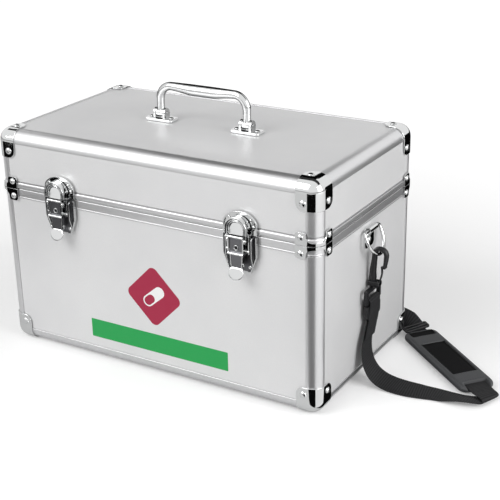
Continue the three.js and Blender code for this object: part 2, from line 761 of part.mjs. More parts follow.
function latchBase() {
  const back = PLATE_STANDOFF;
  const front = back + PLATE_THICKNESS;
  const half = STRIKE_HALF_WIDTH;
  const top = -SEAM_GAP;
  const outline = polygon([
    [-half, top],
    [-half, -BASE_SHOULDER],
    [-BASE_FOOT_HALF_WIDTH, -BASE_DROP],
    [BASE_FOOT_HALF_WIDTH, -BASE_DROP],
    [half, -BASE_SHOULDER],
    [half, top],
  ]);
  const plate = solid(prism(outline, back, front));
  const walls = [-1, 1].map((side) => {
    const edges = [side * half, side * (half - BASE_WALL_WIDTH)].sort((a, b) => a - b);
    return block([edges[0], -BASE_SHOULDER, back], [edges[1], top, front + BASE_WALL_PROUD]);
  });
  const lugs = [-1, 1].map((side) => latchLug(side, back));
  const pinReach = lugOuter();
  const pin = barX(LATCH_PIN_RADIUS, -pinReach, pinReach, -LEVER_PIVOT_DROP, LEVER_PIVOT_OUT);
  const rivetX = BASE_FOOT_HALF_WIDTH - LATCH_RIVET_RADIUS;
  const rivetY = LATCH_RIVET_RADIUS * 2 - BASE_DROP;
  const heads = [-1, 1].map((side) =>
    rivet(side * rivetX, rivetY, front, FIT - PANEL_INSET, LATCH_RIVET_RADIUS, LATCH_RIVET_DOME),
  );
  return join([plate, ...walls, ...lugs, pin, ...heads]);
}

function lugInner() {
  return LEVER_HALF_WIDTH + FIT;
}

function lugOuter() {
  return lugInner() + LUG_WIDTH;
}

// A lug stands beside the lever and carries the end of its pin.
function latchLug(side, back) {
  const edges = [side * lugInner(), side * lugOuter()].sort((a, b) => a - b);
  const low = -LEVER_PIVOT_DROP - LUG_HALF_HEIGHT;
  const high = -LEVER_PIVOT_DROP + LUG_HALF_HEIGHT;
  return block([edges[0], low, back], [edges[1], high, LEVER_PIVOT_OUT]).add(
    barX(LUG_HALF_HEIGHT, edges[0], edges[1], -LEVER_PIVOT_DROP, LEVER_PIVOT_OUT),
  );
}

// The lever, with its origin on its pivot.
function latchLever() {
  const face = LEVER_FACE - LEVER_PIVOT_OUT;
  const back = face - LEVER_DEPTH;
  const half = LEVER_HALF_WIDTH;
  const bodyLow = LEVER_TOP_RISE - RIDGE_HEIGHT - LEVER_RIDGE_DROP;
  const body = block([-half, bodyLow, back], [half, LEVER_TOP_RISE, face]);
  const panelFront = face - PANEL_RECESS;
  const hollow = block(
    [LEVER_WALL - half, bodyLow - OVERRUN, back - OVERRUN],
    [half - LEVER_WALL, LEVER_TOP_RISE + OVERRUN, panelFront - LEVER_WALL],
  );
  const recess = block(
    [LEVER_WALL - half, bodyLow + RIDGE_HEIGHT, panelFront],
    [half - LEVER_WALL, LEVER_TOP_RISE - RIDGE_HEIGHT, face + OVERRUN],
  );
  const ridges = [bodyLow + RIDGE_HEIGHT / 2, LEVER_TOP_RISE - RIDGE_HEIGHT / 2].map((height) =>
    barX(RIDGE_HEIGHT / 2, -half, half, height, face - RIDGE_HEIGHT / 2 + RIDGE_PROUD),
  );
  const neck = polygon([
    [-NECK_TOP_HALF_WIDTH, bodyLow + RIDGE_HEIGHT / 2],
    [-NECK_FOOT_HALF_WIDTH, -NECK_DROP],
    [NECK_FOOT_HALF_WIDTH, -NECK_DROP],
    [NECK_TOP_HALF_WIDTH, bodyLow + RIDGE_HEIGHT / 2],
  ]);
  const tab = new THREE.Shape();
  tab.moveTo(-NECK_FOOT_HALF_WIDTH, -NECK_DROP + LEVER_WALL);
  tab.lineTo(-TAB_HALF_WIDTH, -NECK_DROP - LEVER_WALL);
  tab.absellipse(
    0,
    -NECK_DROP - LEVER_WALL,
    TAB_HALF_WIDTH,
    TAB_DROP - NECK_DROP - LEVER_WALL,
    Math.PI,
    2 * Math.PI,
  );
  tab.lineTo(NECK_FOOT_HALF_WIDTH, -NECK_DROP + LEVER_WALL);
  const neckBack = panelFront - LEVER_WALL;
  return join([body.subtract(hollow).subtract(recess), ...ridges])
    .add(solid(prism(neck, neckBack, panelFront)))
    .add(solid(prism(tab, neckBack, panelFront + TAB_LIFT)))
    .subtract(barX(LATCH_PIN_RADIUS + PIN_CLEARANCE, -half - OVERRUN, half + OVERRUN, 0, 0))
    .subtract(
      barX(
        LATCH_PIN_RADIUS + PIN_CLEARANCE,
        -half - OVERRUN,
        half + OVERRUN,
        -HASP_PIVOT_DROP,
        -HASP_PIVOT_IN,
      ),
    )
    .subtract(barZ(LOCK_RADIUS + FIT, 0, -LOCK_DROP, back, face + OVERRUN));
}

// The key barrel, with its origin on its axis at the lever's recessed panel.
function lockCylinder() {
  const barrel = barZ(LOCK_RADIUS, 0, 0, -LOCK_LENGTH, LOCK_PROUD);
  const slotHalf = [KEY_SLOT_WIDTH / 2, KEY_SLOT_LENGTH / 2];
  return barrel.subtract(
    block(
      [-slotHalf[0], -slotHalf[1], LOCK_PROUD - KEY_SLOT_DEPTH],
      [slotHalf[0], slotHalf[1], LOCK_PROUD + OVERRUN],
    ),
  );
}

// The hasp, with its origin on its pivot on the lever: two arms outside the lever and an arched front
// whose top band drops behind the keeper of the strike.
function latchHasp() {
  const pivotRise = -LEVER_PIVOT_DROP - HASP_PIVOT_DROP;
  const pivotOut = LEVER_PIVOT_OUT - HASP_PIVOT_IN;
  const top = HASP_TOP_RISE - pivotRise;
  const foot = -HASP_ARM_FOOT;
  const faceLow = HASP_FACE_RISE - pivotRise;
  const back = HASP_BACK - pivotOut;
  const face = LEVER_FACE - pivotOut;
  const inner = HASP_HALF_WIDTH - HASP_BAND;
  const band = solid(prism(archOutline(HASP_HALF_WIDTH, foot, top), back, face)).subtract(
    solid(prism(archOutline(inner, foot - OVERRUN, top - HASP_BAND), back - OVERRUN, face + OVERRUN)),
  );
  const armFront = block(
    [-HASP_HALF_WIDTH - OVERRUN, foot - OVERRUN, back + HASP_ARM_DEPTH],
    [HASP_HALF_WIDTH + OVERRUN, faceLow, face + OVERRUN],
  );
  const front = prism(archOutline(inner + HASP_BAND / 2, faceLow, top - HASP_BAND / 2), 0, LEVER_WALL);
  const frontPlate = solid(front.translate(0, 0, face - HASP_FACE_RECESS - LEVER_WALL));
  const pins = [-1, 1].map((side) => {
    const ends = [side * (LEVER_HALF_WIDTH - LEVER_WALL), side * (HASP_HALF_WIDTH - HASP_BAND / 2)];
    ends.sort((a, b) => a - b);
    return barX(LATCH_PIN_RADIUS, ends[0], ends[1], 0, 0);
  });
  return join([band.subtract(armFront), frontPlate, ...pins]);
}

function latch(side, x) {
  const onLid = sideGroup(0);
  const onBody = sideGroup(0);
  const seat = (group) => {
    group.position.x = x;
    group.position.z = SEAM_HEIGHT;
  };
  [onLid, onBody].forEach(seat);
  onLid.add(piece("latch_" + side + "_strike", chrome, strike()));
  const lever = piece("latch_" + side + "_lever", chrome, latchLever());
  lever.position.set(0, -LEVER_PIVOT_DROP, LEVER_PIVOT_OUT);
  const lock = piece("latch_" + side + "_lock_cylinder", chrome, lockCylinder());
  lock.position.set(0, -LOCK_DROP, LEVER_FACE - LEVER_PIVOT_OUT - PANEL_RECESS);
  lever.add(lock);
  const hasp = piece("latch_" + side + "_hasp", chrome, latchHasp());
  hasp.position.set(0, -HASP_PIVOT_DROP, -HASP_PIVOT_IN);
  lever.add(hasp);
  onBody.add(piece("latch_" + side + "_base", chrome, latchBase()), lever);
  return { onLid, onBody };
}

// Handle

// The grip's centreline and sizes, from the left leg's foot round to the right one's.
function handleStations() {
  const half = HANDLE_SPACING / 2;
  const stations = [];
  const station = (x, z, inPlane, across) =>
    stations.push({ point: new THREE.Vector3(x, 0, z), inPlane, across });
  station(-half, 0, LEG_HALF_WIDTH, LEG_HALF_DEPTH);
  for (let step = 0; step <= ARC_STEPS; step++) {
    const angle = Math.PI - ((step / ARC_STEPS) * Math.PI) / 2;
    const share = step / ARC_STEPS;
    station(
      HANDLE_CORNER - half + HANDLE_CORNER * Math.cos(angle),
      HANDLE_RISE - HANDLE_CORNER + HANDLE_CORNER * Math.sin(angle),
      LEG_HALF_WIDTH + (SHOULDER_HALF_HEIGHT - LEG_HALF_WIDTH) * share,
      LEG_HALF_DEPTH + (SHOULDER_HALF_HEIGHT - LEG_HALF_DEPTH) * share,
    );
  }
  station(HANDLE_CORNER + GRIP_TAPER - half, HANDLE_RISE, GRIP_HALF_HEIGHT, GRIP_HALF_DEPTH);
  const mirrored = stations.map(({ point, inPlane, across }) => ({
    point: new THREE.Vector3(-point.x, 0, point.z),
    inPlane,
    across,
  }));
  return [...stations, ...mirrored.reverse()];
}

function handleGrip() {
  const bow = solid(sweepInPlane(handleStations(), Y, ROUND_SIDES));
  const eyes = [-1, 1].map((side) => {
    const x = (side * HANDLE_SPACING) / 2;
    return barX(HANDLE_EYE_RADIUS, x - LEG_HALF_WIDTH, x + LEG_HALF_WIDTH, 0, 0);
  });
  const bore = barX(HANDLE_PIN_RADIUS + PIN_CLEARANCE, -HANDLE_SPACING, HANDLE_SPACING, 0, 0);
  return join([bow, ...eyes]).subtract(bore);
}

function handleBracket() {
  const halfLength = HANDLE_PLATE_LENGTH / 2;
  const halfWidth = HANDLE_PLATE_WIDTH / 2;
  const drop = -HANDLE_PIVOT_RISE;
  const plateTop = drop + FIT + HANDLE_PLATE_THICKNESS;
  const outline = roundedOutline(-halfLength, -halfWidth, halfLength, halfWidth, EAR_THICKNESS);
  const plate = solid(prism(outline, drop + FIT, plateTop));
  const earInner = LEG_HALF_WIDTH + FIT;
  const earOuter = earInner + EAR_THICKNESS;
  const ears = [-1, 1].map((side) => {
    const edges = [side * earInner, side * earOuter].sort((a, b) => a - b);
    const post = block([edges[0], -EAR_RADIUS, drop + FIT], [edges[1], EAR_RADIUS, 0]);
    return post.add(barX(EAR_RADIUS, edges[0], edges[1], 0, 0));
  });
  const pin = barX(HANDLE_PIN_RADIUS, -earOuter, earOuter, 0, 0);
  const headX = (halfLength + earOuter) / 2;
  const heads = [-1, 1].map((side) =>
    rivet(side * headX, 0, plateTop, drop + FIT, LATCH_RIVET_RADIUS, LATCH_RIVET_DOME),
  );
  return join([plate, ...ears, pin, ...heads]);
}

function handle() {
  const group = new THREE.Group();
  group.position.z = LID_SURFACE + HANDLE_PIVOT_RISE;
  group.add(piece("handle_grip", chrome, handleGrip()));
  [-1, 1].forEach((side) => {
    const name = "handle_bracket_" + (side < 0 ? "left" : "right");
    const mesh = piece(name, chrome, handleBracket());
    mesh.position.x = (side * HANDLE_SPACING) / 2;
    group.add(mesh);
  });
  return group;
}

// Carrying rings, in an end's local axes: X along the case's depth, Y up, Z out of the case

const BARREL_RADIUS = RING_WIRE_RADIUS + FIT + RING_BARREL_WALL;
const RING_OUT = FIT - PANEL_INSET + BARREL_RADIUS;

function ringPlate() {
  const back = FIT - PANEL_INSET - RING_OUT;
  const front = back + RING_PLATE_THICKNESS;
  const half = RING_PLATE_HALF_WIDTH;
  const outline = roundedOutline(-half, -RING_PLATE_DROP, half, BARREL_RADIUS, half / 2);
  const plate = solid(prism(outline, back, front));
  const barrelHalf = RING_BARREL_LENGTH / 2;
  const barrel = barX(BARREL_RADIUS, -barrelHalf, barrelHalf, 0, 0);
  const bore = barX(RING_WIRE_RADIUS + PIN_CLEARANCE, -OVERRUN - half, OVERRUN + half, 0, 0);
  const head = rivet(0, -RING_RIVET_DROP, front, back, BRACKET_RIVET_RADIUS, LATCH_RIVET_DOME);
  return join([plate, barrel, head]).subtract(bore);
}

// A D of round wire hanging from its straight bar, which lies on the group's origin.
function carryRing() {
  const stations = [];
  const wire = { inPlane: RING_WIRE_RADIUS, across: RING_WIRE_RADIUS };
  const at = (x, y) => stations.push({ point: new THREE.Vector3(x, y, 0), ...wire });
  const half = RING_HALF_WIDTH;
  const turn = 2 * RING_WIRE_RADIUS;
  const quarter = (cx, cy, radius, start) => {
    for (let step = 0; step <= ARC_STEPS / 2; step++) {
      const angle = start + (step / (ARC_STEPS / 2)) * (Math.PI / 2);
      at(cx + radius * Math.cos(angle), cy + radius * Math.sin(angle));
    }
  };
  quarter(half - turn, -turn, turn, 0);
  quarter(turn - half, -turn, turn, Math.PI / 2);
  const arcSteps = 2 * ARC_STEPS;
  for (let step = 0; step <= arcSteps; step++) {
    const angle = Math.PI + (step / arcSteps) * Math.PI;
    at(half * Math.cos(angle), -RING_SHOULDER + (RING_DROP - RING_SHOULDER) * Math.sin(angle));
  }
  return sweepInPlane(stations, Z, RIVET_SIDES, true);
}

// Strap hooks, in the same axes as the rings

function hookStations() {
  const stations = [];
  const across = HOOK_HALF_THICKNESS;
  const at = (out, height, inPlane) =>
    stations.push({ point: new THREE.Vector3(0, height, out), inPlane, across });
  const radius = CROOK_INNER_RADIUS + CROOK_HALF_WIDTH;
  at(STEM_OUT, HOOK_COLLAR_HEIGHT + COLLAR_RISE / 2, STEM_HALF_WIDTH);
  at(STEM_OUT, CROOK_HEIGHT - 2 * radius, STEM_HALF_WIDTH);
  for (let step = 0; step <= 2 * ARC_STEPS; step++) {
    const angle = Math.PI - (step / (2 * ARC_STEPS)) * Math.PI;
    at(CROOK_OUT + radius * Math.cos(angle), CROOK_HEIGHT + radius * Math.sin(angle), CROOK_HALF_WIDTH);
  }
  const tipOut = CROOK_OUT + radius;
  const tipHalf = CROOK_TIP_HALF_WIDTH;
  at(tipOut - CROOK_TIP_IN / 3, CROOK_HEIGHT - CROOK_TIP_DROP / 2, (CROOK_HALF_WIDTH + tipHalf) / 2);
  at(tipOut - CROOK_TIP_IN, CROOK_HEIGHT - CROOK_TIP_DROP, tipHalf);
  return stations;
}

// The moulded hook, with a bore below for the swivel's pin and a slot for the gate's foot.
function strapHook() {
  const collarTop = HOOK_COLLAR_HEIGHT + COLLAR_RISE;
  const collar = block(
    [-COLLAR_HALF_WIDTH, HOOK_COLLAR_HEIGHT, STEM_OUT - COLLAR_IN],
    [COLLAR_HALF_WIDTH, collarTop, STEM_OUT + COLLAR_OUT],
  );
  const body = solid(sweepInPlane(hookStations(), X, ROUND_SIDES)).add(collar);
  const bore = new THREE.CylinderGeometry(
    SWIVEL_PIN_RADIUS + PIN_CLEARANCE,
    SWIVEL_PIN_RADIUS + PIN_CLEARANCE,
    2 * SWIVEL_PIN_RISE,
    ROUND_SIDES,
  ).translate(0, HOOK_COLLAR_HEIGHT, STEM_OUT);
  const slotHalf = GATE_HALF_WIDTH + FIT;
  const slot = block(
    [-slotHalf, HOOK_COLLAR_HEIGHT + FIT, GATE_PIVOT_OUT - GATE_THICKNESS - FIT],
    [slotHalf, collarTop + OVERRUN, STEM_OUT + COLLAR_OUT + OVERRUN],
  );
  return body.subtract(solid(bore)).subtract(slot);
}

// The sprung gate, with its origin on its pivot in the hook's collar.
function hookGate() {
  const steps = ARC_STEPS;
  const stations = Array.from({ length: steps + 1 }, (_, step) => {
    const share = step / steps;
    const bow = 4 * GATE_BOW * share * (1 - share);
    return {
      point: new THREE.Vector3(0, GATE_LENGTH * share, GATE_TIP_OUT * share + bow),
      inPlane: GATE_THICKNESS / 2,
      across: GATE_HALF_WIDTH,
    };
  });
  const foot = barX(GATE_THICKNESS, -GATE_HALF_WIDTH, GATE_HALF_WIDTH, 0, 0);
  return solid(sweepInPlane(stations, X, RIVET_SIDES)).add(foot);
}

// The swivel's square eye, which the webbing is sewn round.
function swivelEye() {
  const low = EYE_TOP_HEIGHT - EYE_RISE;
  const half = EYE_HALF_WIDTH;
  const outline = roundedOutline(-half, low, half, EYE_TOP_HEIGHT, EYE_BAR / 2);
  outline.holes.push(
    roundedOutline(
      EYE_BAR - half,
      low + EYE_BAR,
      half - EYE_BAR,
      EYE_TOP_HEIGHT - EYE_BAR,
      EYE_BAR / 4,
    ),
  );
  const frame = solid(prism(outline, STEM_OUT - EYE_BAR / 2, STEM_OUT + EYE_BAR / 2));
  const upright = (radius, rise) => {
    const from = EYE_TOP_HEIGHT - EYE_BAR / 2;
    const length = rise + EYE_BAR / 2;
    const bar = new THREE.CylinderGeometry(radius, radius, length, ROUND_SIDES);
    return solid(bar.translate(0, from + length / 2, STEM_OUT));
  };
  return join([
    frame,
    upright(EYE_BOSS_RADIUS, EYE_BOSS_RISE),
    upright(SWIVEL_PIN_RADIUS, HOOK_COLLAR_HEIGHT - EYE_TOP_HEIGHT + SWIVEL_PIN_RISE - PIN_CLEARANCE),
  ]);
}

function endFittings(side, turns) {
  const group = sideGroup(turns);
  const away = turns < 0 ? -1 : 1;
  group.position.y = RING_Y;
  const plate = piece("ring_plate_" + side, chrome, ringPlate());
  plate.position.set(0, RING_PIVOT_HEIGHT, RING_OUT);
  const ring = piece("carry_ring_" + side, chrome, carryRing());
  ring.position.copy(plate.position);
  ring.rotation.x = -RING_TILT;
  const hook = piece("strap_hook_" + side, blackPlastic, strapHook());
  const gate = piece("hook_gate_" + side, blackPlastic, hookGate());
  gate.position.set(0, HOOK_COLLAR_HEIGHT + GATE_PIVOT_RISE, GATE_PIVOT_OUT);
  const eye = piece("swivel_eye_" + side, blackPlastic, swivelEye());
  group.add(plate, ring, hook, gate, eye);
  group.position.x = (away * CASE_WIDTH) / 2;
  return group;
}

// Rear hinge, in the back's local axes: X across, Y up from the seam, Z out of the case

const HINGE_OUT = PLATE_STANDOFF + HINGE_BARREL_RADIUS;

function hingeLeaf(up) {
  const pitch = HINGE_LENGTH / HINGE_KNUCKLES;
  const start = -HINGE_LENGTH / 2;
  const clear = HINGE_BARREL_RADIUS + FIT;
  const leafLow = up * clear;
  const leafHigh = up * (SEAM_GAP + HINGE_LEAF_HEIGHT);
  const edges = [leafLow, leafHigh].sort((a, b) => a - b);
  const leafBack = PLATE_STANDOFF;
  const leafFront = leafBack + HINGE_LEAF_THICKNESS;
  const solids = [block([start, edges[0], leafBack], [-start, edges[1], leafFront])];
  for (let i = 0; i < HINGE_KNUCKLES; i++) {
    const belongsUp = i % 2 === 1;
    if (belongsUp !== up > 0) continue;
    const from = start + i * pitch + KNUCKLE_GAP / 2;
    const to = from + pitch - KNUCKLE_GAP;
    const web = [0, up * (clear + FIT)].sort((a, b) => a - b);
    solids.push(barX(HINGE_BARREL_RADIUS, from, to, 0, HINGE_OUT));
    solids.push(block([from, web[0], leafBack], [to, web[1], leafFront]));
  }
  const whole = join(solids);
  const pinFrom = start - KNUCKLE_GAP;
  if (up < 0) return whole.add(barX(HINGE_PIN_RADIUS, pinFrom, -pinFrom, 0, HINGE_OUT));
  return whole.subtract(
    barX(HINGE_PIN_RADIUS + PIN_CLEARANCE, pinFrom - OVERRUN, OVERRUN - pinFrom, 0, HINGE_OUT),
  );
}

function hinge() {
  const group = sideGroup(2);
  group.position.z = SEAM_HEIGHT;
  group.add(piece("hinge_lid_leaf", chrome, hingeLeaf(1)));
  group.add(piece("hinge_body_leaf", chrome, hingeLeaf(-1)));
  return group;
}

// Inside

function bodyLining() {
  const halfX = HALF_WIDTH - LINING_OUT;
  const halfY = HALF_DEPTH - LINING_OUT;
  const low = BOX_BOTTOM + FRAME_WALL + FIT;
  const high = BODY_RIM_TOP - LINING_TOP_DROP;
  const wall = LINING_THICKNESS;
  const outer = roundedOutline(-halfX, -halfY, halfX, halfY, LINING_CORNER);
  const inner = roundedOutline(wall - halfX, wall - halfY, halfX - wall, halfY - wall, LINING_CORNER - wall);
  const shell = solid(prism(outer, low, high)).subtract(solid(prism(inner, low + wall, high + OVERRUN)));
  const ledges = [-1, 1].map((side) => {
    const edges = [side * (halfX - wall / 2), side * (halfX - wall - LEDGE_DEPTH)].sort((a, b) => a - b);
    return block(
      [edges[0], LINING_CORNER - halfY, LEDGE_TOP_HEIGHT - LEDGE_THICKNESS],
      [edges[1], halfY - LINING_CORNER, LEDGE_TOP_HEIGHT],
    );
  });
  return piece("body_lining", foam, join([shell, ...ledges]));
}

function liftOutTray() {
  const halfX = HALF_WIDTH - LINING_OUT - LINING_THICKNESS - TRAY_CLEARANCE;
  const halfY = HALF_DEPTH - LINING_OUT - LINING_THICKNESS - TRAY_CLEARANCE;
  const low = LEDGE_TOP_HEIGHT + FIT;
  const high = low + TRAY_HEIGHT;
  const wall = TRAY_WALL;
  const whole = solid(prism(roundedOutline(-halfX, -halfY, halfX, halfY, TRAY_CORNER), low, high));
  const columnWidth = (2 * halfX - wall) / TRAY_COLUMNS;
  const pockets = [];
  for (let column = 0; column < TRAY_COLUMNS; column++) {
    const left = -halfX + wall + column * columnWidth;
    const right = left + columnWidth - wall;
    pockets.push(roundedOutline(left, wall - halfY, right, -wall / 2, TRAY_CORNER - wall));
    pockets.push(roundedOutline(left, wall / 2, right, halfY - wall, TRAY_CORNER - wall));
  }
  const cut = join(pockets.map((pocket) => solid(prism(pocket, low + wall, high + OVERRUN))));
  return piece("lift_out_tray", greyPlastic, whole.subtract(cut));
}

// Strap

// The webbing's way from the right eye down to the floor, out to its fold, back through the pad, along
// behind the case and up to the left eye: its middle, and the vector from there to its edge.
const padAxis = new THREE.Vector3(-0.765, 0.644, 0).normalize();
const padEnd = new THREE.Vector3(HALF_WIDTH + 125.5, 15.6, 0); // its end nearest the fold
const halfWeb = WEBBING_WIDTH / 2;

function onPad(distance, height) {
  return padEnd.clone().addScaledVector(padAxis, distance).setZ(height).toArray();
}

// A height on a hanging stretch, as a share of where the webbing hangs from.
function hang(share) {
  return WEBBING_TOP * share;
}

// [middle], [edge]: hand-laid places. Edges are given their length afterwards.
const webbingRoute = [
  [[HALF_WIDTH + 5.8, 1, WEBBING_TOP], [0, 1, 0]],
  [[HALF_WIDTH + 5.8, 1, hang(0.8028)], [0, 1, 0]],
  [[HALF_WIDTH + 5.8, -2, hang(0.7225)], [0, 1, 0.02]],
  [[HALF_WIDTH + 6, -6.2, hang(0.633)], [0, 1, 0.06]],
  [[HALF_WIDTH + 6.4, -10.6, hang(0.539)], [0, 1, 0.1]],
  [[HALF_WIDTH + 7.2, -13.8, hang(0.4358)], [0, 1, 0.12]],
  [[HALF_WIDTH + 9.2, -15.6, hang(0.3211)], [0, 0.99, 0.14]],
  [[HALF_WIDTH + 13, -16.4, hang(0.2179)], [0, 0.99, 0.15]],
  [[HALF_WIDTH + 19, -16.8, 11.6], [0.02, 0.98, 0.17]],
  [[HALF_WIDTH + 27.5, -17, 6.6], [0.06, 0.98, 0.19]],
  [[HALF_WIDTH + 38, -17.4, 4.2], [0.1, 0.97, 0.2]],
  [[HALF_WIDTH + 49, -17.9, 3.6], [0.06, 0.97, 0.2]],
  [[HALF_WIDTH + 59, -17.4, 3.3], [-0.06, 0.98, 0.18]],
  [[HALF_WIDTH + 68, -15.8, 2.9], [-0.18, 0.97, 0.14]],
  [[HALF_WIDTH + 77, -13.6, 2.1], [-0.16, 0.98, 0.08]],
  [[HALF_WIDTH + 86, -11.4, 1.5], [-0.06, 1, 0.03]],
  [[HALF_WIDTH + 95.2, -10.5, 1.4], [0, 1, -0.01]],
  [[HALF_WIDTH + 104.1, -10.4, 2.4], [0, 0.99, -0.1]],
  [[HALF_WIDTH + 113.3, -10, 3.5], [-0.03, 0.98, -0.19]],
  [[HALF_WIDTH + 122.5, -8.6, 4], [-0.1, 0.97, -0.22]],
  [[HALF_WIDTH + 131, -4.9, 3.4], [-0.13, 0.97, -0.18]],
  [[HALF_WIDTH + 137, -0.9, 2.7], [0.06, 0.98, -0.12]],
  [[HALF_WIDTH + 140.4, 1.9, 2.6], [0.26, 0.96, -0.1], 1.04],
  [[HALF_WIDTH + 141.6, 3, 4.1], [0.33, 0.94, -0.1], 1.06],
  [[HALF_WIDTH + 140.1, 4.3, 5.5], [0.4, 0.91, -0.08], 1.04],
  [[HALF_WIDTH + 136.2, 7.2, 5.9], [0.5, 0.86, -0.05]],
  [onPad(-6, 5.4), [0.644, 0.765, 0]],
  [onPad(0, 5.6), [0.644, 0.765, 0]],
  [onPad(PAD_LENGTH / 2, 5.6), [0.644, 0.765, 0]],
  [onPad(PAD_LENGTH, 5.6), [0.644, 0.765, 0]],
  [onPad(PAD_LENGTH + 6, 5.8), [0.64, 0.76, 0.06]],
  [[HALF_WIDTH + 6.5, HALF_DEPTH + 3.7, 7.2], [0.55, 0.76, 0.34]],
  [[HALF_WIDTH, HALF_DEPTH + 7.1, 10.2], [0.3, 0.6, 0.74]],
  [[HALF_WIDTH - 8, HALF_DEPTH + 8.5, 12.4], [0.06, 0.34, 0.94]],
  [[HALF_WIDTH - 18, HALF_DEPTH + 8.9, 12.9], [0, 0.1, 0.99]],
  [[HALF_WIDTH - 32, HALF_DEPTH + 8.9, 13.1], [0, 0, 1]],
  [[120, HALF_DEPTH + 9.1, 13.1], [0, 0, 1]],
  [[60, HALF_DEPTH + 9.9, 13.1], [0, 0, 1]],
  [[0, HALF_DEPTH + 10.5, 13.1], [0, 0, 1]],
  [[-60, HALF_DEPTH + 10.1, 13.1], [0, 0, 1]],
  [[-120, HALF_DEPTH + 9.3, 13.1], [0, 0, 1]],
  [[28 - HALF_WIDTH, HALF_DEPTH + 9.1, 13.1], [0, 0, 1]],
  [[12 - HALF_WIDTH, HALF_DEPTH + 8.5, 13.1], [0, 0, 1]],
  [[1 - HALF_WIDTH, HALF_DEPTH + 5.1, 13.1], [0, 0, 1]],
  [[-HALF_WIDTH - 7, HALF_DEPTH - 1.5, 13.1], [0, 0, 1]],
  [[-HALF_WIDTH - 12.5, HALF_DEPTH - 11.5, 13.1], [0, 0, 1]],
  [[-HALF_WIDTH - 16, 88, 13], [0.1, 0, 1]],
  [[-HALF_WIDTH - 18, 74, 12.8], [0.2, 0, 0.98]],
  [[-HALF_WIDTH - 18.4, 60, 12.9], [0.26, -0.06, 0.96]],
  [[-HALF_WIDTH - 17.2, 47, 13.8], [0.24, -0.26, 0.92]],
  [[-HALF_WIDTH - 15, 35.5, 16.2], [0.18, -0.5, 0.82]],
  [[-HALF_WIDTH - 12.2, 25.5, hang(0.2408)], [0.1, -0.72, 0.65]],
  [[-HALF_WIDTH - 9.6, 17, hang(0.3211)], [0.04, -0.87, 0.45]],
  [[-HALF_WIDTH - 7.6, 9.8, hang(0.4243)], [0, -0.95, 0.27]],
  [[-HALF_WIDTH - 6.4, 4.6, hang(0.5447)], [0, -0.99, 0.12]],
  [[-HALF_WIDTH - 5.9, 1.8, hang(0.6766)], [0, -1, 0.03]],
  [[-HALF_WIDTH - 5.8, 1, hang(0.8142)], [0, -1, 0]],
  [[-HALF_WIDTH - 5.8, 1, WEBBING_TOP], [0, -1, 0]],
];

function webbing() {
  const stations = webbingRoute.map(([middle, edge, stretch = 1]) => ({
    middle: new THREE.Vector3(...middle),
    edge: new THREE.Vector3(...edge).normalize().multiplyScalar(halfWeb * stretch),
  }));
  return piece("strap_webbing", blackFabric, ribbon(stations, WEBBING_THICKNESS));
}

function strapSlider() {
  const half = SLIDER_HALF_WIDTH;
  const outline = roundedOutline(-half, 0, half, SLIDER_RISE, EYE_BAR);
  const back = STEM_OUT - SLIDER_THICKNESS / 2;
  const slotHalf = halfWeb + FIT;
  const slotDepth = WEBBING_THICKNESS / 2 + FIT;
  const plate = solid(prism(outline, back, back + SLIDER_THICKNESS)).subtract(
    block(
      [-slotHalf, -OVERRUN, STEM_OUT - slotDepth],
      [slotHalf, SLIDER_RISE + OVERRUN, STEM_OUT + slotDepth],
    ),
  );
  const mesh = piece("strap_slider", blackPlastic, plate);
  mesh.position.y = SLIDER_HEIGHT;
  const group = sideGroup(1);
  group.position.y = RING_Y;
  group.add(mesh);
  return group;
}

// The shoulder pad: a moulded border and two cross bands round sunk fabric, slotted end to end.
function shoulderPad() {
  const halfWidth = PAD_WIDTH / 2;
  const halfLength = PAD_LENGTH / 2;
  const bevel = {
    depth: PAD_THICKNESS - 2 * PAD_BEVEL,
    bevelThickness: PAD_BEVEL,
    bevelSize: PAD_BEVEL,
    bevelOffset: -PAD_BEVEL,
    bevelSegments: 2,
    curveSegments: ARC_STEPS,
  };
  const outline = roundedOutline(-halfLength, -halfWidth, halfLength, halfWidth, PAD_CORNER);
  const cushion = solid(new THREE.ExtrudeGeometry(outline, bevel).translate(0, 0, PAD_LIFT + PAD_BEVEL));
  const sunkHigh = PAD_LIFT + PAD_THICKNESS + OVERRUN;
  const sunkLow = PAD_LIFT + PAD_THICKNESS - PAD_CHANNEL_DEPTH;
  const pocket = roundedOutline(
    PAD_NEAR_BAND - halfLength,
    PAD_BORDER - halfWidth,
    halfLength - PAD_FAR_BAND,
    halfWidth - PAD_BORDER,
    PAD_BORDER,
  );
  const sunk = solid(prism(pocket, sunkLow, sunkHigh));
  const slotHalf = halfWeb + FIT;
  const slot = block(
    [-halfLength - OVERRUN, -slotHalf, PAD_SLOT_RISE],
    [halfLength + OVERRUN, slotHalf, PAD_SLOT_RISE + PAD_SLOT_HEIGHT - PAD_CHANNEL_DEPTH],
  );
  const mouth = block(
    [-halfLength - OVERRUN, -slotHalf, PAD_SLOT_RISE],
    [PAD_MOUTH - halfLength, slotHalf, sunkHigh],
  );
  return piece("shoulder_pad", blackFabric, cushion.subtract(sunk).subtract(slot).subtract(mouth));
}

function strap() {
  const pad = shoulderPad();
  pad.position.copy(padEnd).addScaledVector(padAxis, PAD_LENGTH / 2);
  pad.rotation.z = Math.atan2(padAxis.y, padAxis.x);
  return [webbing(), strapSlider(), pad];
}

// Assembly

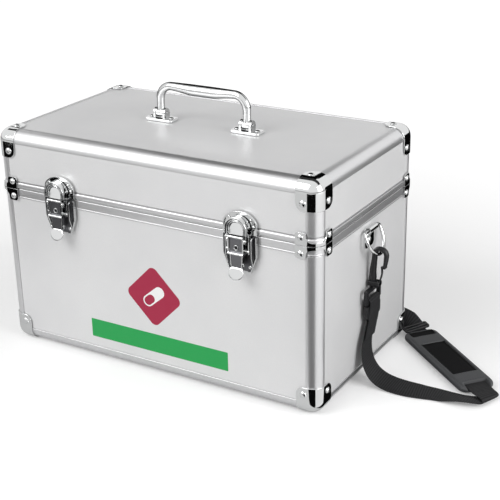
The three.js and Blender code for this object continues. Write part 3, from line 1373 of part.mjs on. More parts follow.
const root = new THREE.Group();
root.add(
  caseFrame("body_frame", BOX_BOTTOM - OVERRUN, BODY_RIM_BOTTOM - FIT),
  ...shellPanels("body", BOX_BOTTOM + FRAME_BORDER + FIT, BODY_RIM_BOTTOM - FIT),
  floorPanel(),
  bodyRim(),
  ...corners("body", BOX_BOTTOM, -1),
  caseFrame("lid_frame", LID_RIM_TOP + FIT, CASE_HEIGHT + OVERRUN),
  ...shellPanels("lid", LID_RIM_TOP + FIT, CASE_HEIGHT - FRAME_BORDER - FIT),
  topPanel(),
  lidRim(),
  ...corners("lid", CASE_HEIGHT, 1),
  handle(),
  endFittings("left", -1),
  endFittings("right", 1),
  hinge(),
  bodyLining(),
  liftOutTray(),
  ...strap(),
);
for (const [side, sign] of [
  ["left", -1],
  ["right", 1],
]) {
  const { onLid, onBody } = latch(side, (sign * LATCH_SPACING) / 2);
  root.add(onLid, onBody);
}

export default root;
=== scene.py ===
# %% [markdown]
# A medicine carry case: boards in an aluminium frame, chromed corners and latches, and a shoulder strap.
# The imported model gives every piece's real place, and this script dresses it. Nothing here moves or
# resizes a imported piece. Where one is too plain, a finer piece is built in the same place and stands
# for it.

import math

import bmesh
import bpy
from mathutils import Matrix, Vector


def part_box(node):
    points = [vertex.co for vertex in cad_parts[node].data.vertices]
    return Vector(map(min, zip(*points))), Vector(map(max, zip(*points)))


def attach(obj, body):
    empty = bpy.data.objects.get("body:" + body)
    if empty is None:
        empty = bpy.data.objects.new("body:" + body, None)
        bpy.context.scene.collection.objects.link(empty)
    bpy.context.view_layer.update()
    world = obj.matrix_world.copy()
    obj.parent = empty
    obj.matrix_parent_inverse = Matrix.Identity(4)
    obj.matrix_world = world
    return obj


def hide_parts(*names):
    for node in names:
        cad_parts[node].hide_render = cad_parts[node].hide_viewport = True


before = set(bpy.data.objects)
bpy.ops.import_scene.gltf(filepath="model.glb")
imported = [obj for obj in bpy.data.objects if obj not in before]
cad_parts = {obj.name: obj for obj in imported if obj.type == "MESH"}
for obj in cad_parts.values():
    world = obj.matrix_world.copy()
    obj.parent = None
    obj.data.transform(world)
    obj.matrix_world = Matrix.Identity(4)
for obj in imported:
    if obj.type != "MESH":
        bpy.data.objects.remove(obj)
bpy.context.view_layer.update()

# %% [markdown]
# Lengths are written in millimetres, as on a drawing, and turned to metres once. A shape is drawn as a
# bmesh in millimetres, cut or joined there, and only the finished piece becomes an object.

# %% Units and places shared by many pieces
MM = 0.001
FINE = 10  # segments of a quarter turn that shows
OVER = 5.0  # how far a cutting solid reaches past what it cuts
BIG = 600.0  # longer than the whole case
EDGE_RADIUS = 13.0
X_AXIS, Y_AXIS, Z_AXIS = Vector((1, 0, 0)), Vector((0, 1, 0)), Vector((0, 0, 1))


def box_mm(node):
    """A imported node's lowest and highest corners in millimetres."""
    low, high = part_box(node)
    return low / MM, high / MM


HALF_WIDTH, HALF_DEPTH, CASE_TOP = (round(v, 3) for v in box_mm("lid_frame")[1])
BOX_BOTTOM = round(box_mm("body_frame")[0].z, 3)
seam_gap = box_mm("body_bracket_front_left")[1].z, box_mm("lid_bracket_front_left")[0].z
SEAM = round(sum(seam_gap) / 2, 3)
print("case", 2 * HALF_WIDTH, "by", 2 * HALF_DEPTH, "mm, top at", CASE_TOP, "and seam at", SEAM)


def axes(across, along, out):
    """A turn that takes X, Y and Z to these three directions."""
    return Matrix((across, along, out)).transposed().to_4x4()


def face_matrix(side, origin):
    """Axes for drawing on a side of the case: X along it, Y up, Z out of it."""
    across, out = {
        "front": (X_AXIS, -Y_AXIS),
        "right": (Y_AXIS, X_AXIS),
        "back": (-X_AXIS, Y_AXIS),
        "left": (-Y_AXIS, -X_AXIS),
    }[side]
    return Matrix.Translation(origin) @ axes(across, Z_AXIS, out)


# %% [markdown]
# The camera was worked out from the case's own edges in the photograph, whose three sets of parallel
# lines fix where the lens stood: some way off, above the lid and to the right of the front. Its yaw,
# pitch and roll are in radians.

# %% Camera
CAMERA_PLACE = Vector((673.19, -1029.75, 613.45)) * MM
CAMERA_YAW, CAMERA_PITCH, CAMERA_ROLL = -0.540124, 0.391763, -0.021504
FOCAL_SHARE = 1162.92 / 500  # focal length over picture width
SENSOR = 36.0

heading = Vector((math.sin(CAMERA_YAW), math.cos(CAMERA_YAW), 0))
aim = heading * math.cos(CAMERA_PITCH) - Z_AXIS * math.sin(CAMERA_PITCH)
level = Vector((math.cos(CAMERA_YAW), -math.sin(CAMERA_YAW), 0))
above = level.cross(aim)
picture_right = level * math.cos(CAMERA_ROLL) + above * math.sin(CAMERA_ROLL)
picture_up = above * math.cos(CAMERA_ROLL) - level * math.sin(CAMERA_ROLL)
lens = bpy.data.cameras.new("camera")
lens.sensor_width = SENSOR
lens.lens = SENSOR * FOCAL_SHARE
camera = bpy.data.objects.new("camera", lens)
camera.matrix_world = Matrix.Translation(CAMERA_PLACE) @ axes(picture_right, picture_up, -aim)
bpy.context.scene.collection.objects.link(camera)
bpy.context.scene.camera = camera
print("lens", round(lens.lens, 1), "mm")

# %% [markdown]
# Colours are written as sRGB hex, as a paint chart gives them, and Blender's shaders want linear light.
# One function adds a node with its settings and links, and another starts a material from its surface.

# %% Colour and node helpers


def linear(code):
    """An sRGB hex colour as linear RGBA."""
    channels = [int(code[i : i + 2], 16) / 255 for i in (1, 3, 5)]
    return [c / 12.92 if c <= 0.04045 else ((c + 0.055) / 1.055) ** 2.4 for c in channels] + [1]


def first_output(value):
    """What a node gives first. Anything else is passed on as it is."""
    return value.outputs[0] if isinstance(value, bpy.types.Node) else value


def node(tree, kind, inputs=None, **settings):
    """Adds a node. Each input is a value, an output, or a node that feeds it with its first output."""
    made = tree.nodes.new("ShaderNode" + kind)
    for key, value in settings.items():
        setattr(made, key, value)
    for key, value in (inputs or {}).items():
        value = first_output(value)
        if isinstance(value, bpy.types.NodeSocket):
            tree.links.new(value, made.inputs[key])
        else:
            made.inputs[key].default_value = value
    return made


def surface(name, **inputs):
    """A new material with one surface shader, whose plain values are given as socket names."""
    material = bpy.data.materials.new(name)
    material.use_nodes = True
    tree = material.node_tree
    tree.nodes.clear()
    values = {key.replace("_", " "): value for key, value in inputs.items()}
    shader = node(tree, "BsdfPrincipled", values)
    node(tree, "OutputMaterial", {"Surface": shader})
    return material, tree, shader


def link(tree, output, shader, socket):
    """Feeds one of the surface shader's sockets."""
    tree.links.new(first_output(output), shader.inputs[socket])


def feed(tree, shader, socket, kind, inputs, **settings):
    """Adds a node that feeds one of the surface shader's sockets."""
    link(tree, node(tree, kind, inputs, **settings), shader, socket)


def grade(ramp, *ends):
    """Sets a colour ramp's two ends, each a place from 0 to 1 and a hex colour."""
    for element, (place, colour) in zip(ramp.color_ramp.elements, ends):
        element.position = place
        element.color = linear(colour)


def place_mm(tree, scale=(1, 1, 1)):
    """The point on the piece in millimetres, squeezed along an axis where its scale is under 1."""
    place = node(tree, "TexCoord")
    stretch = [s / MM for s in scale]
    return node(tree, "Mapping", {"Vector": place.outputs["Object"], "Scale": stretch}).outputs["Vector"]


print("white is", linear("#ffffff"), "and mid grey is", [round(c, 3) for c in linear("#808080")])

# %% [markdown]
# Caps, brackets, latches and handle are steel, pressed or cast, then polished and chrome-plated. Such
# plate has hardly a colour of its own and reads by what it mirrors. It could be one even mirror, but a
# pressed sheet is never quite flat, so a slow, faint bump bends the reflections, and fine rubbing makes
# the gloss uneven. On a round bar the dark corners of a room crowd together near both its sides. The
# studio has no such corners, so on a round bar they are a painted reflection: the colour darkens toward
# the sides by the angle that it is seen at.

# %% Chrome-plated steel, pressed and polished
CHROME_WAVE = 9.0  # millimetres between the pressing's soft waves
RUB_SIZE = 1.6  # a patch that polishing left a little duller
# the dark tone is a painted reflection, laid on the round bars' sides for room corners that the studio lacks
CHROME_LIGHT, PAINTED_REFLECTION_DARK = "#dcdddd", "#343436"


def plated(name, painted_dark_edges=False):
    """Chrome plate, for a sheet or for a round bar, whose sides get a painted dark reflection."""
    material, tree, shader = surface(name, Base_Color=linear(CHROME_LIGHT), Metallic=1.0)
    wave = node(tree, "TexNoise", {"Vector": place_mm(tree), "Scale": 1 / CHROME_WAVE, "Detail": 1.0})
    feed(tree, shader, "Normal", "Bump", {"Height": wave, "Strength": 0.06, "Distance": 1.2 * MM})
    rub = node(tree, "TexNoise", {"Vector": place_mm(tree), "Scale": 1 / RUB_SIZE, "Detail": 6.0})
    rubbed = {"Value": rub, "From Min": 0.35, "From Max": 0.8, "To Min": 0.03, "To Max": 0.1}
    feed(tree, shader, "Roughness", "MapRange", rubbed)
    # painted reflection: the colour runs from light to dark as the surface turns away from the view
    if painted_dark_edges:
        facing = node(tree, "LayerWeight", {"Blend": 0.5})
        tone = node(tree, "ValToRGB", {"Fac": facing.outputs["Facing"]})
        grade(tone, (0.28, CHROME_LIGHT), (0.72, PAINTED_REFLECTION_DARK))
        link(tree, tone, shader, "Base Color")
    return material


chrome = plated("chrome_plated_steel")
# chrome with painted dark reflections at its sides, for the handle's bow and ears and the rings
chrome_painted_dark_edges = plated("chrome_bar_painted_reflection", painted_dark_edges=True)
print("made", chrome.name, "and", chrome_painted_dark_edges.name)

# %% [markdown]
# The edge pieces are extruded aluminium, anodised silver. Etching before the bath makes them satin, and
# the die leaves faint lines along them. A noise that is stretched along the case gives both, the lines
# as a bump and the uneven satin as roughness. The clear oxide skin is no metal, so the whole is a
# little under fully metallic.

# %% Anodised aluminium extrusion
DIE_LINE = 0.7  # a die's lines are a hundredth of a millimetre apart, drawn coarser to show

aluminium, tree, shader = surface("anodised_aluminium", Base_Color=linear("#dcdcdd"), Metallic=0.85)
drawn = place_mm(tree, (0.02, 0.02, 1))
lines = node(tree, "TexNoise", {"Vector": drawn, "Scale": 1 / DIE_LINE, "Detail": 4.0})
feed(tree, shader, "Roughness", "MapRange", {"Value": lines, "To Min": 0.26, "To Max": 0.4})
feed(tree, shader, "Normal", "Bump", {"Height": lines, "Strength": 0.05, "Distance": 0.1 * MM})
print("made", aluminium.name)

# %% [markdown]
# The panels are board faced with a printed silver film. The film is half metal flake and half clear
# plastic, so it is only partly metallic, under a weak coat. Its face has a fine pebble, and its colour
# drifts a little from place to place. A picture of such a film would do as well, but two noises keep it
# free of seams.

# %% Silver-faced board
PEBBLE = 0.55  # a bump of the film's face
DRIFT = 60.0  # a patch of slightly other tone

board, tree, shader = surface("silver_faced_board", Metallic=0.35, Coat_Weight=0.08, Coat_Roughness=0.3)
drift = node(tree, "TexNoise", {"Vector": place_mm(tree), "Scale": 1 / DRIFT, "Detail": 2.0})
pebble = node(tree, "TexNoise", {"Vector": place_mm(tree), "Scale": 1 / PEBBLE, "Detail": 3.0})
parts = {0: drift, 1: pebble, 2: 0.1}
blend = node(tree, "Math", parts, operation="MULTIPLY_ADD")
tone = node(tree, "ValToRGB", {"Fac": blend})
grade(tone, (0.15, "#e0e0e1"), (0.6, "#eaeaea"))
link(tree, tone, shader, "Base Color")
feed(tree, shader, "Roughness", "MapRange", {"Value": pebble, "To Min": 0.36, "To Max": 0.5})
feed(tree, shader, "Normal", "Bump", {"Height": pebble, "Strength": 0.12, "Distance": 0.05 * MM})
print("made", board.name)

# %% [markdown]
# The sunk faces of the latches are nickel that was left brushed: the base's field, the lever's neck and
# key plate, the hasp's tray and the barrel's face. Brushing scatters the light along one direction, and
# the lines are a noise stretched upwards. Their colour is painted shade, set far darker than nickel, so
# that they read as the latch's shaded recesses against the chrome round them.

# %% Brushed nickel, darkened with painted shade
BRUSH_LINE = 0.25  # a line of the brush is 0.05 mm, drawn coarser to show

# painted shade: this dark base colour stands for the shade in the latch's recesses; brushing gives only the
# roughness and the lines
nickel_painted_shade, tree, shader = surface("brushed_nickel_painted_shade", Base_Color=linear("#77777a"), Metallic=1.0)
drawn = place_mm(tree, (1, 1, 0.06))
brush = node(tree, "TexNoise", {"Vector": drawn, "Scale": 1 / BRUSH_LINE, "Detail": 5.0})
feed(tree, shader, "Roughness", "MapRange", {"Value": brush, "To Min": 0.22, "To Max": 0.45})
feed(tree, shader, "Normal", "Bump", {"Height": brush, "Strength": 0.15, "Distance": 0.05 * MM})
print("made", nickel_painted_shade.name)

# %% [markdown]
# The hooks, swivels and slides are moulded acetal: black and a little waxy. The mould was spark-eroded,
# which leaves a fine even grain, so one noise drives both the bump and the roughness.

# %% Black acetal
GRAIN = 0.5  # a spark-eroded pit is 0.1 mm, drawn coarser to show

black = linear("#19191b")
acetal, tree, shader = surface("black_acetal", Base_Color=black, IOR=1.48, Specular_IOR_Level=0.45)
grain = node(tree, "TexNoise", {"Vector": place_mm(tree), "Scale": 1 / GRAIN, "Detail": 3.0})
feed(tree, shader, "Roughness", "MapRange", {"Value": grain, "To Min": 0.32, "To Max": 0.5})
feed(tree, shader, "Normal", "Bump", {"Height": grain, "Strength": 0.2, "Distance": 0.05 * MM})
print("made", acetal.name)

# %% [markdown]
# The strap is woven polypropylene: matte black, with ribs across it that wear to grey on their crests.
# The ribs are real shape. The threads are a bump, drawn along the piece's own map, whose first number
# runs along the strap in millimetres, and the wear follows the ribs by the same number. Tone from the
# map bends with the strap, which a pattern in space wouldn't.

# %% Woven polypropylene webbing
WAVE_REPEAT = math.pi / 10  # a wave texture of scale 1 repeats at this distance
THREAD = 1.1  # a thread is 0.5 mm on the real strap, drawn coarser to show
RIB_PITCH = 2.6  # real ribs are 2 mm apart, drawn a little coarser to show
FUZZ = 0.7  # a tuft of loose fibre

webbing_cloth, tree, shader = surface(
    "woven_polypropylene", Roughness=0.7, Sheen_Weight=0.02, Sheen_Roughness=0.4, Specular_IOR_Level=0.25
)
run = node(tree, "UVMap", uv_map="strap_mm")
weave = {"Vector": run.outputs["UV"], "Scale": WAVE_REPEAT / THREAD, "Distortion": 0.6}
threads = node(tree, "TexWave", weave, bands_direction="Y")
fuzz = node(tree, "TexNoise", {"Vector": run.outputs["UV"], "Scale": 1 / FUZZ, "Detail": 4.0})
tone = node(tree, "ValToRGB", {"Fac": fuzz})
grade(tone, (0.3, "#080809"), (0.75, "#161617"))
along = node(tree, "SeparateXYZ", {"Vector": run.outputs["UV"]})
turn = node(tree, "Math", {0: along.outputs["X"], 1: 2 * math.pi / RIB_PITCH}, operation="MULTIPLY")
ridge = node(tree, "Math", {0: turn}, operation="COSINE")
crest = {"Value": ridge, "From Min": -1.0, "To Min": 0.0, "To Max": 0.55}
worn = node(tree, "MapRange", crest)
rubbed = {"Fac": worn, "Color1": tone, "Color2": linear("#343436")}
feed(tree, shader, "Base Color", "MixRGB", rubbed)
relief = {"Height": threads.outputs["Fac"], "Strength": 0.35, "Distance": 0.15 * MM}
feed(tree, shader, "Normal", "Bump", relief)
print("made", webbing_cloth.name)

# %% [markdown]
# The shoulder pad is moulded from soft grey vinyl with a fine leather-like grain, and its sunk fields
# are black knitted mesh. Both are matte. Cell patterns suit both: the creases between cells are the
# leather's, and the cells' own middles are the holes of the knit.

# %% Soft vinyl and knitted mesh
VINYL_CELL = 0.9  # a cell of the leather grain
KNIT_CELL = 1.2  # a knit loop is 0.8 mm, drawn coarser to show

vinyl, tree, shader = surface("soft_vinyl", Base_Color=linear("#3d3e40"), Roughness=0.6, IOR=1.52)
hide = {"Vector": place_mm(tree), "Scale": 1 / VINYL_CELL}
cells = node(tree, "TexVoronoi", hide, feature="DISTANCE_TO_EDGE")
feed(tree, shader, "Normal", "Bump", {"Height": cells, "Strength": 0.3, "Distance": 0.1 * MM})

mesh_cloth, tree, shader = surface("knitted_mesh", Roughness=0.9, Specular_IOR_Level=0.15)
knit = {"Vector": place_mm(tree, (1, 1, 0.2)), "Scale": 1 / KNIT_CELL, "Randomness": 0.25}
loops = node(tree, "TexVoronoi", knit)
tone = node(tree, "ValToRGB", {"Fac": loops})
grade(tone, (0.0, "#161617"), (0.7, "#060607"))
link(tree, tone, shader, "Base Color")
feed(tree, shader, "Normal", "Bump", {"Height": loops, "Strength": 0.6, "Distance": 0.25 * MM}, invert=True)
print("made", vinyl.name, "and", mesh_cloth.name)

# %% [markdown]
# Inside are two plain materials. The lining is closed-cell foam with its skin cut off, which is dull
# and shows its cells. The tray is moulded from grey polystyrene, a hard plastic with a slight sheen.

# %% Foam and polystyrene
FOAM_CELL = 0.8  # a cell of the foam

foam, tree, shader = surface("closed_cell_foam", Roughness=0.95, IOR=1.45)
cells = node(tree, "TexVoronoi", {"Vector": place_mm(tree), "Scale": 1 / FOAM_CELL})
tone = node(tree, "ValToRGB", {"Fac": cells})
grade(tone, (0.0, "#3a3b3e"), (1.0, "#232427"))
link(tree, tone, shader, "Base Color")
feed(tree, shader, "Normal", "Bump", {"Height": cells, "Strength": 0.4, "Distance": 0.15 * MM})

polystyrene, tree, shader = surface("grey_polystyrene", Base_Color=linear("#8d9095"), IOR=1.58)
grain = node(tree, "TexNoise", {"Vector": place_mm(tree), "Scale": 1 / GRAIN, "Detail": 2.0})
feed(tree, shader, "Roughness", "MapRange", {"Value": grain, "To Min": 0.35, "To Max": 0.5})
feed(tree, shader, "Normal", "Bump", {"Height": grain, "Strength": 0.1, "Distance": 0.05 * MM})
print("made", foam.name, "and", polystyrene.name)

# %% [markdown]
# The marks on the front are screen-printed vinyl film. Ink on film is even, with a faint orange-peel
# where it dried, so a soft bump is all that it needs.

# %% Printed vinyl film
PEEL = 1.5  # a swell of the dried ink


def film(name, colour):
    """Vinyl film printed in one colour."""
    material, tree, shader = surface(name, Base_Color=linear(colour), Roughness=0.38, IOR=1.5)
    peel = node(tree, "TexNoise", {"Vector": place_mm(tree), "Scale": 1 / PEEL, "Detail": 2.0})
    feed(tree, shader, "Normal", "Bump", {"Height": peel, "Strength": 0.08, "Distance": 0.05 * MM})
    return material


green_film = film("green_film", "#10a04c")
crimson_film = film("crimson_film", "#a5163f")
white_film = film("white_film", "#f2f2f2")
print(len(bpy.data.materials), "materials")

# %% [markdown]
# A piece is drawn from a few kinds of solid: a block, an outline pushed straight out, a profile turned
# round an axis, and a section swept along a line. Blender's own primitives could be scaled instead, but
# a drawn outline keeps each real size in sight. The solids are bmesh and are then joined or cut.

# %% Drawing helpers


def arc(cx, cy, rx, ry, start, end, steps=2 * FINE):
    """Points on an ellipse between two angles in degrees."""
    turns = [math.radians(start + (end - start) * i / steps) for i in range(steps + 1)]
    return [(cx + rx * math.cos(t), cy + ry * math.sin(t)) for t in turns]


def rounded(left, low, right, high, radius):
    """A rectangle with round corners, anticlockwise."""
    xs, ys = (left + radius, right - radius), (low + radius, high - radius)
    corners = [(xs[1], ys[0], -90), (xs[1], ys[1], 0), (xs[0], ys[1], 90), (xs[0], ys[0], 180)]
    return [p for x, y, turn in corners for p in arc(x, y, radius, radius, turn, turn + 90, FINE)]


def skin(rings, closed=False):
    """A surface through rings of points. One that isn't closed on itself is capped at both ends."""
    shape = bmesh.new()
    rows = [[shape.verts.new(p) for p in ring] for ring in rings]
    count = len(rows[0])
    for i in range(len(rows) if closed else len(rows) - 1):
        here, there = rows[i], rows[(i + 1) % len(rows)]
        for j in range(count):
            shape.faces.new((here[j], here[(j + 1) % count], there[(j + 1) % count], there[j]))
    if not closed:
        shape.faces.new(list(reversed(rows[0])))
        shape.faces.new(rows[-1])
    bmesh.ops.recalc_face_normals(shape, faces=shape.faces)
    return shape


def prism(outline, low, high):
    """An outline in X and Y, pushed from one height to another."""
    return skin([[(x, y, z) for x, y in outline] for z in (low, high)])


def block(low, high):
    """A block between its lowest and highest corners."""
    (x, y, z), (far_x, far_y, far_z) = low, high
    return prism([(x, y), (far_x, y), (far_x, far_y), (x, far_y)], z, far_z)


def soft_block(low, high, radius, segments=FINE):
    """A block with all its edges rounded."""
    shape = block(low, high)
    edges = shape.edges[:]
    bmesh.ops.bevel(shape, geom=edges, offset=radius, segments=segments, profile=0.5, affect="EDGES")
    return shape


def turned(profile, sides=32):
    """A profile of (radius, height) turned round Z, and closed flat at both ends."""
    angles = [2 * math.pi * k / sides for k in range(sides)]
    return skin([[(r * math.cos(a), r * math.sin(a), h) for a in angles] for r, h in profile])


def bar(radius, start, end, sides=32):
    """A round bar between two points."""
    way = Vector(end) - Vector(start)
    shape = turned([(radius, 0), (radius, way.length)], sides)
    turn = way.to_track_quat("Z", "Y").to_matrix().to_4x4()
    return moved(shape, Matrix.Translation(start) @ turn)


def moved(shape, matrix):
    """The shape in a new place. A mirrored one has its faces turned right side out again."""
    bmesh.ops.transform(shape, matrix=matrix, verts=shape.verts)
    if matrix.determinant() < 0:
        bmesh.ops.reverse_faces(shape, faces=shape.faces)
    return shape


def joined(*shapes):
    """Several solids as one mesh, without working out where they meet."""
    whole = bmesh.new()
    for shape in shapes:
        part = bpy.data.meshes.new("part")
        shape.to_mesh(part)
        shape.free()
        whole.from_mesh(part)
        bpy.data.meshes.remove(part)
    return whole


def as_object(shape, name="shape"):
    """An object in the scene that takes over a drawn shape."""
    mesh = bpy.data.meshes.new(name)
    shape.to_mesh(mesh)
    shape.free()
    thing = bpy.data.objects.new(name, mesh)
    bpy.context.scene.collection.objects.link(thing)
    return thing


def carved(base, *steps):
    """A solid after steps of ("cut", solid), ("add", solid) or ("keep", solid), each worked out exactly."""
    kinds = {"cut": "DIFFERENCE", "add": "UNION", "keep": "INTERSECT"}
    thing = as_object(base)
    tools = [as_object(shape) for _, shape in steps]
    for (kind, _), tool in zip(steps, tools):
        modifier = thing.modifiers.new(kind, "BOOLEAN")
        modifier.operation = kinds[kind]
        modifier.solver = "EXACT"
        modifier.object = tool
    mesh = bpy.data.meshes.new_from_object(thing.evaluated_get(bpy.context.evaluated_depsgraph_get()))
    made = bmesh.new()
    made.from_mesh(mesh)
    for old in [thing, *tools]:
        data = old.data
        bpy.data.objects.remove(old)
        bpy.data.meshes.remove(data)
    bpy.data.meshes.remove(mesh)
    bmesh.ops.dissolve_limit(made, angle_limit=math.radians(0.5), verts=made.verts, edges=made.edges)
    return made


print("a quarter turn that shows has", FINE, "segments")

# %% [markdown]
# Real edges are never knife sharp, and a small round on each is what catches the light. Every finished
# piece gets that round, then normals weighted to its large faces, so that flat faces mirror flatly.

# %% Finishing helpers
EASED_FROM = 35  # degrees between two faces from which their edge is rounded
CREASED_FROM = 50  # degrees from which the shading breaks
WELD_GAP = 0.005
RIVET_SHANK_SHARE = 0.6
RIVET_SINK = 0.8  # how deep the shank goes into the plate


def eased(thing, width):
    """Rounds the sharp edges a little and weights the normals to the flat faces."""
    if width:
        rounding = thing.modifiers.new("ease", "BEVEL")
        rounding.width = width * MM
        rounding.segments = 2
        rounding.limit_method = "ANGLE"
        rounding.angle_limit = math.radians(EASED_FROM)
    weighted = thing.modifiers.new("flat faces", "WEIGHTED_NORMAL")
    weighted.keep_sharp = True


def finished(name, shape, material, body, nodes=(), ease=0.25):
    """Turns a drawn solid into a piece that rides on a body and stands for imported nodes."""
    bmesh.ops.scale(shape, vec=(MM,) * 3, verts=shape.verts)
    piece = as_object(shape, name)
    piece.data.materials.append(material)
    piece.data.shade_smooth()
    piece.data.set_sharp_from_angle(angle=math.radians(CREASED_FROM))
    eased(piece, ease)
    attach(piece, body)
    if nodes:
        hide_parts(*nodes)
    return piece


def dressed(node_name, material, ease=0.3):
    """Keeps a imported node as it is, and gives it a finish and eased edges."""
    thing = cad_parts[node_name]
    thing.data.materials.clear()
    thing.data.materials.append(material)
    weld = thing.modifiers.new("weld", "WELD")
    weld.merge_threshold = WELD_GAP * MM
    eased(thing, ease)


def rivet(x, y, seat, radius, dome):
    """A domed head on a short shank, standing on a local face."""
    shank = radius * RIVET_SHANK_SHARE
    bulge = arc(0, 0, radius, dome, 0, 88, FINE)
    head = turned([(shank, -RIVET_SINK), (shank, 0), *bulge], 28)
    return moved(head, Matrix.Translation((x, y, seat)))


print("edges sharper than", EASED_FROM, "degrees are eased")

# %% [markdown]
# The strap is one free length of flat webbing, so it is drawn before the rest. It hangs from the right
# swivel and lies down on the floor with its near edge a little up. At the far right it folds back,
# runs through the pad and on edge along the foot of the case's back, and climbs to the left swivel.
# Cloth could be dropped there, but a tight fold and a stiff strap are sooner drawn. Each row is the
# middle of the webbing in metres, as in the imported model, and the way from there to its edge. A last
# number, where a row has one, is the share by which the fold spreads the webbing there.

# %% Strap route
STRAP_ROUTE = [
    (0.2058, 0.001, 0.0872, (0, 1, 0)),
    (0.2058, 0.001, 0.07, (0, 1, 0)),
    (0.2058, -0.002, 0.063, (0, 1, 0.02)),
    (0.206, -0.0062, 0.0552, (0, 1, 0.06)),
    (0.2064, -0.0106, 0.047, (0, 1, 0.1)),
    (0.2072, -0.0138, 0.038, (0, 1, 0.12)),
    (0.2092, -0.0156, 0.028, (0, 0.99, 0.14)),
    (0.213, -0.0164, 0.019, (0, 0.99, 0.15)),
    (0.219, -0.0168, 0.0116, (0.02, 0.98, 0.17)),
    (0.2275, -0.017, 0.0066, (0.06, 0.98, 0.19)),
    (0.238, -0.0174, 0.0042, (0.1, 0.97, 0.2)),
    (0.249, -0.0179, 0.0036, (0.06, 0.97, 0.2)),
    (0.259, -0.0174, 0.0033, (-0.06, 0.98, 0.18)),
    (0.268, -0.0158, 0.0029, (-0.18, 0.97, 0.14)),
    (0.277, -0.0136, 0.0021, (-0.16, 0.98, 0.08)),
    (0.286, -0.0114, 0.0015, (-0.06, 1, 0.03)),
    (0.2952, -0.0105, 0.0014, (0, 1, -0.01)),
    (0.3041, -0.0104, 0.0024, (0, 0.99, -0.1)),
    (0.3133, -0.01, 0.0035, (-0.03, 0.98, -0.19)),
    (0.3225, -0.0086, 0.004, (-0.1, 0.97, -0.22)),
    (0.331, -0.0049, 0.0034, (-0.13, 0.97, -0.18)),
    (0.337, -0.0009, 0.0027, (0.06, 0.98, -0.12)),
    (0.3404, 0.0019, 0.0026, (0.26, 0.96, -0.1), 1.04),
    (0.3416, 0.003, 0.0041, (0.33, 0.94, -0.1), 1.06),
    (0.3401, 0.0043, 0.0055, (0.4, 0.91, -0.08), 1.04),
    (0.3362, 0.0072, 0.0059, (0.5, 0.86, -0.05)),
    (0.33009, 0.01174, 0.0054, (0.644, 0.765, 0)),
    (0.3255, 0.0156, 0.0056, (0.644, 0.765, 0)),
    (0.27042, 0.06197, 0.0056, (0.644, 0.765, 0)),
    (0.21534, 0.10834, 0.0056, (0.644, 0.765, 0)),
    (0.21075, 0.1122, 0.0058, (0.64, 0.76, 0.06)),
    (0.2065, 0.1162, 0.0072, (0.55, 0.76, 0.34)),
    (0.2, 0.1196, 0.0102, (0.3, 0.6, 0.74)),
    (0.192, 0.121, 0.0124, (0.06, 0.34, 0.94)),
    (0.182, 0.1214, 0.0129, (0, 0.1, 0.99)),
    (0.168, 0.1214, 0.0131, (0, 0, 1)),
    (0.12, 0.1216, 0.0131, (0, 0, 1)),
    (0.06, 0.1224, 0.0131, (0, 0, 1)),
    (0, 0.123, 0.0131, (0, 0, 1)),
    (-0.06, 0.1226, 0.0131, (0, 0, 1)),
    (-0.12, 0.1218, 0.0131, (0, 0, 1)),
    (-0.172, 0.1216, 0.0131, (0, 0, 1)),
    (-0.188, 0.121, 0.0131, (0, 0, 1)),
    (-0.199, 0.1176, 0.0131, (0, 0, 1)),
    (-0.207, 0.111, 0.0131, (0, 0, 1)),
    (-0.2125, 0.101, 0.0131, (0, 0, 1)),
    (-0.216, 0.088, 0.013, (0.1, 0, 1)),
    (-0.218, 0.074, 0.0128, (0.2, 0, 0.98)),
    (-0.2184, 0.06, 0.0129, (0.26, -0.06, 0.96)),
    (-0.2172, 0.047, 0.0138, (0.24, -0.26, 0.92)),
    (-0.215, 0.0355, 0.0162, (0.18, -0.5, 0.82)),
    (-0.2122, 0.0255, 0.021, (0.1, -0.72, 0.65)),
    (-0.2096, 0.017, 0.028, (0.04, -0.87, 0.45)),
    (-0.2076, 0.0098, 0.037, (0, -0.95, 0.27)),
    (-0.2064, 0.0046, 0.0475, (0, -0.99, 0.12)),
    (-0.2059, 0.0018, 0.059, (0, -1, 0.03)),
    (-0.2058, 0.001, 0.071, (0, -1, 0)),
    (-0.2058, 0.001, 0.0872, (0, -1, 0)),
]
CURVE_STEPS = 24  # between two points of the route


def eased_between(before, here, after, beyond, share):
    """A smooth curve through here and after, shaped by their neighbours."""
    a = 2 * here
    b = after - before
    c = 2 * before - 5 * here + 4 * after - beyond
    d = beyond - before + 3 * (here - after)
    return 0.5 * (a + b * share + c * share**2 + d * share**3)


def strap_stations(pitch):
    """Middles, edges and running lengths along the strap, evenly spaced, in millimetres."""
    middles = [Vector(row[:3]) / MM for row in STRAP_ROUTE]
    edges = [Vector(row[3]).normalized() * (row[4] if len(row) > 4 else 1) for row in STRAP_ROUTE]
    fine = []
    last = len(middles) - 1
    for i in range(last):
        near = [middles[k] for k in (max(i - 1, 0), i, i + 1, min(i + 2, last))]
        for share in (step / CURVE_STEPS for step in range(CURVE_STEPS)):
            fine.append((eased_between(*near, share), edges[i].lerp(edges[i + 1], share)))
    fine.append((middles[-1], edges[-1]))
    runs = [0.0]
    for (a, _), (b, _) in zip(fine, fine[1:]):
        runs.append(runs[-1] + (b - a).length)
    stations = []
    k = 0
    count = int(runs[-1] / pitch)
    for n in range(count + 1):
        run = n * runs[-1] / count
        while k < len(runs) - 2 and runs[k + 1] < run:
            k += 1
        share = (run - runs[k]) / (runs[k + 1] - runs[k])
        (middle, edge), (next_middle, next_edge) = fine[k], fine[k + 1]
        stations.append((middle.lerp(next_middle, share), edge.lerp(next_edge, share), run))
    return stations


RIB_STEPS = 4
stations = strap_stations(RIB_PITCH / RIB_STEPS)

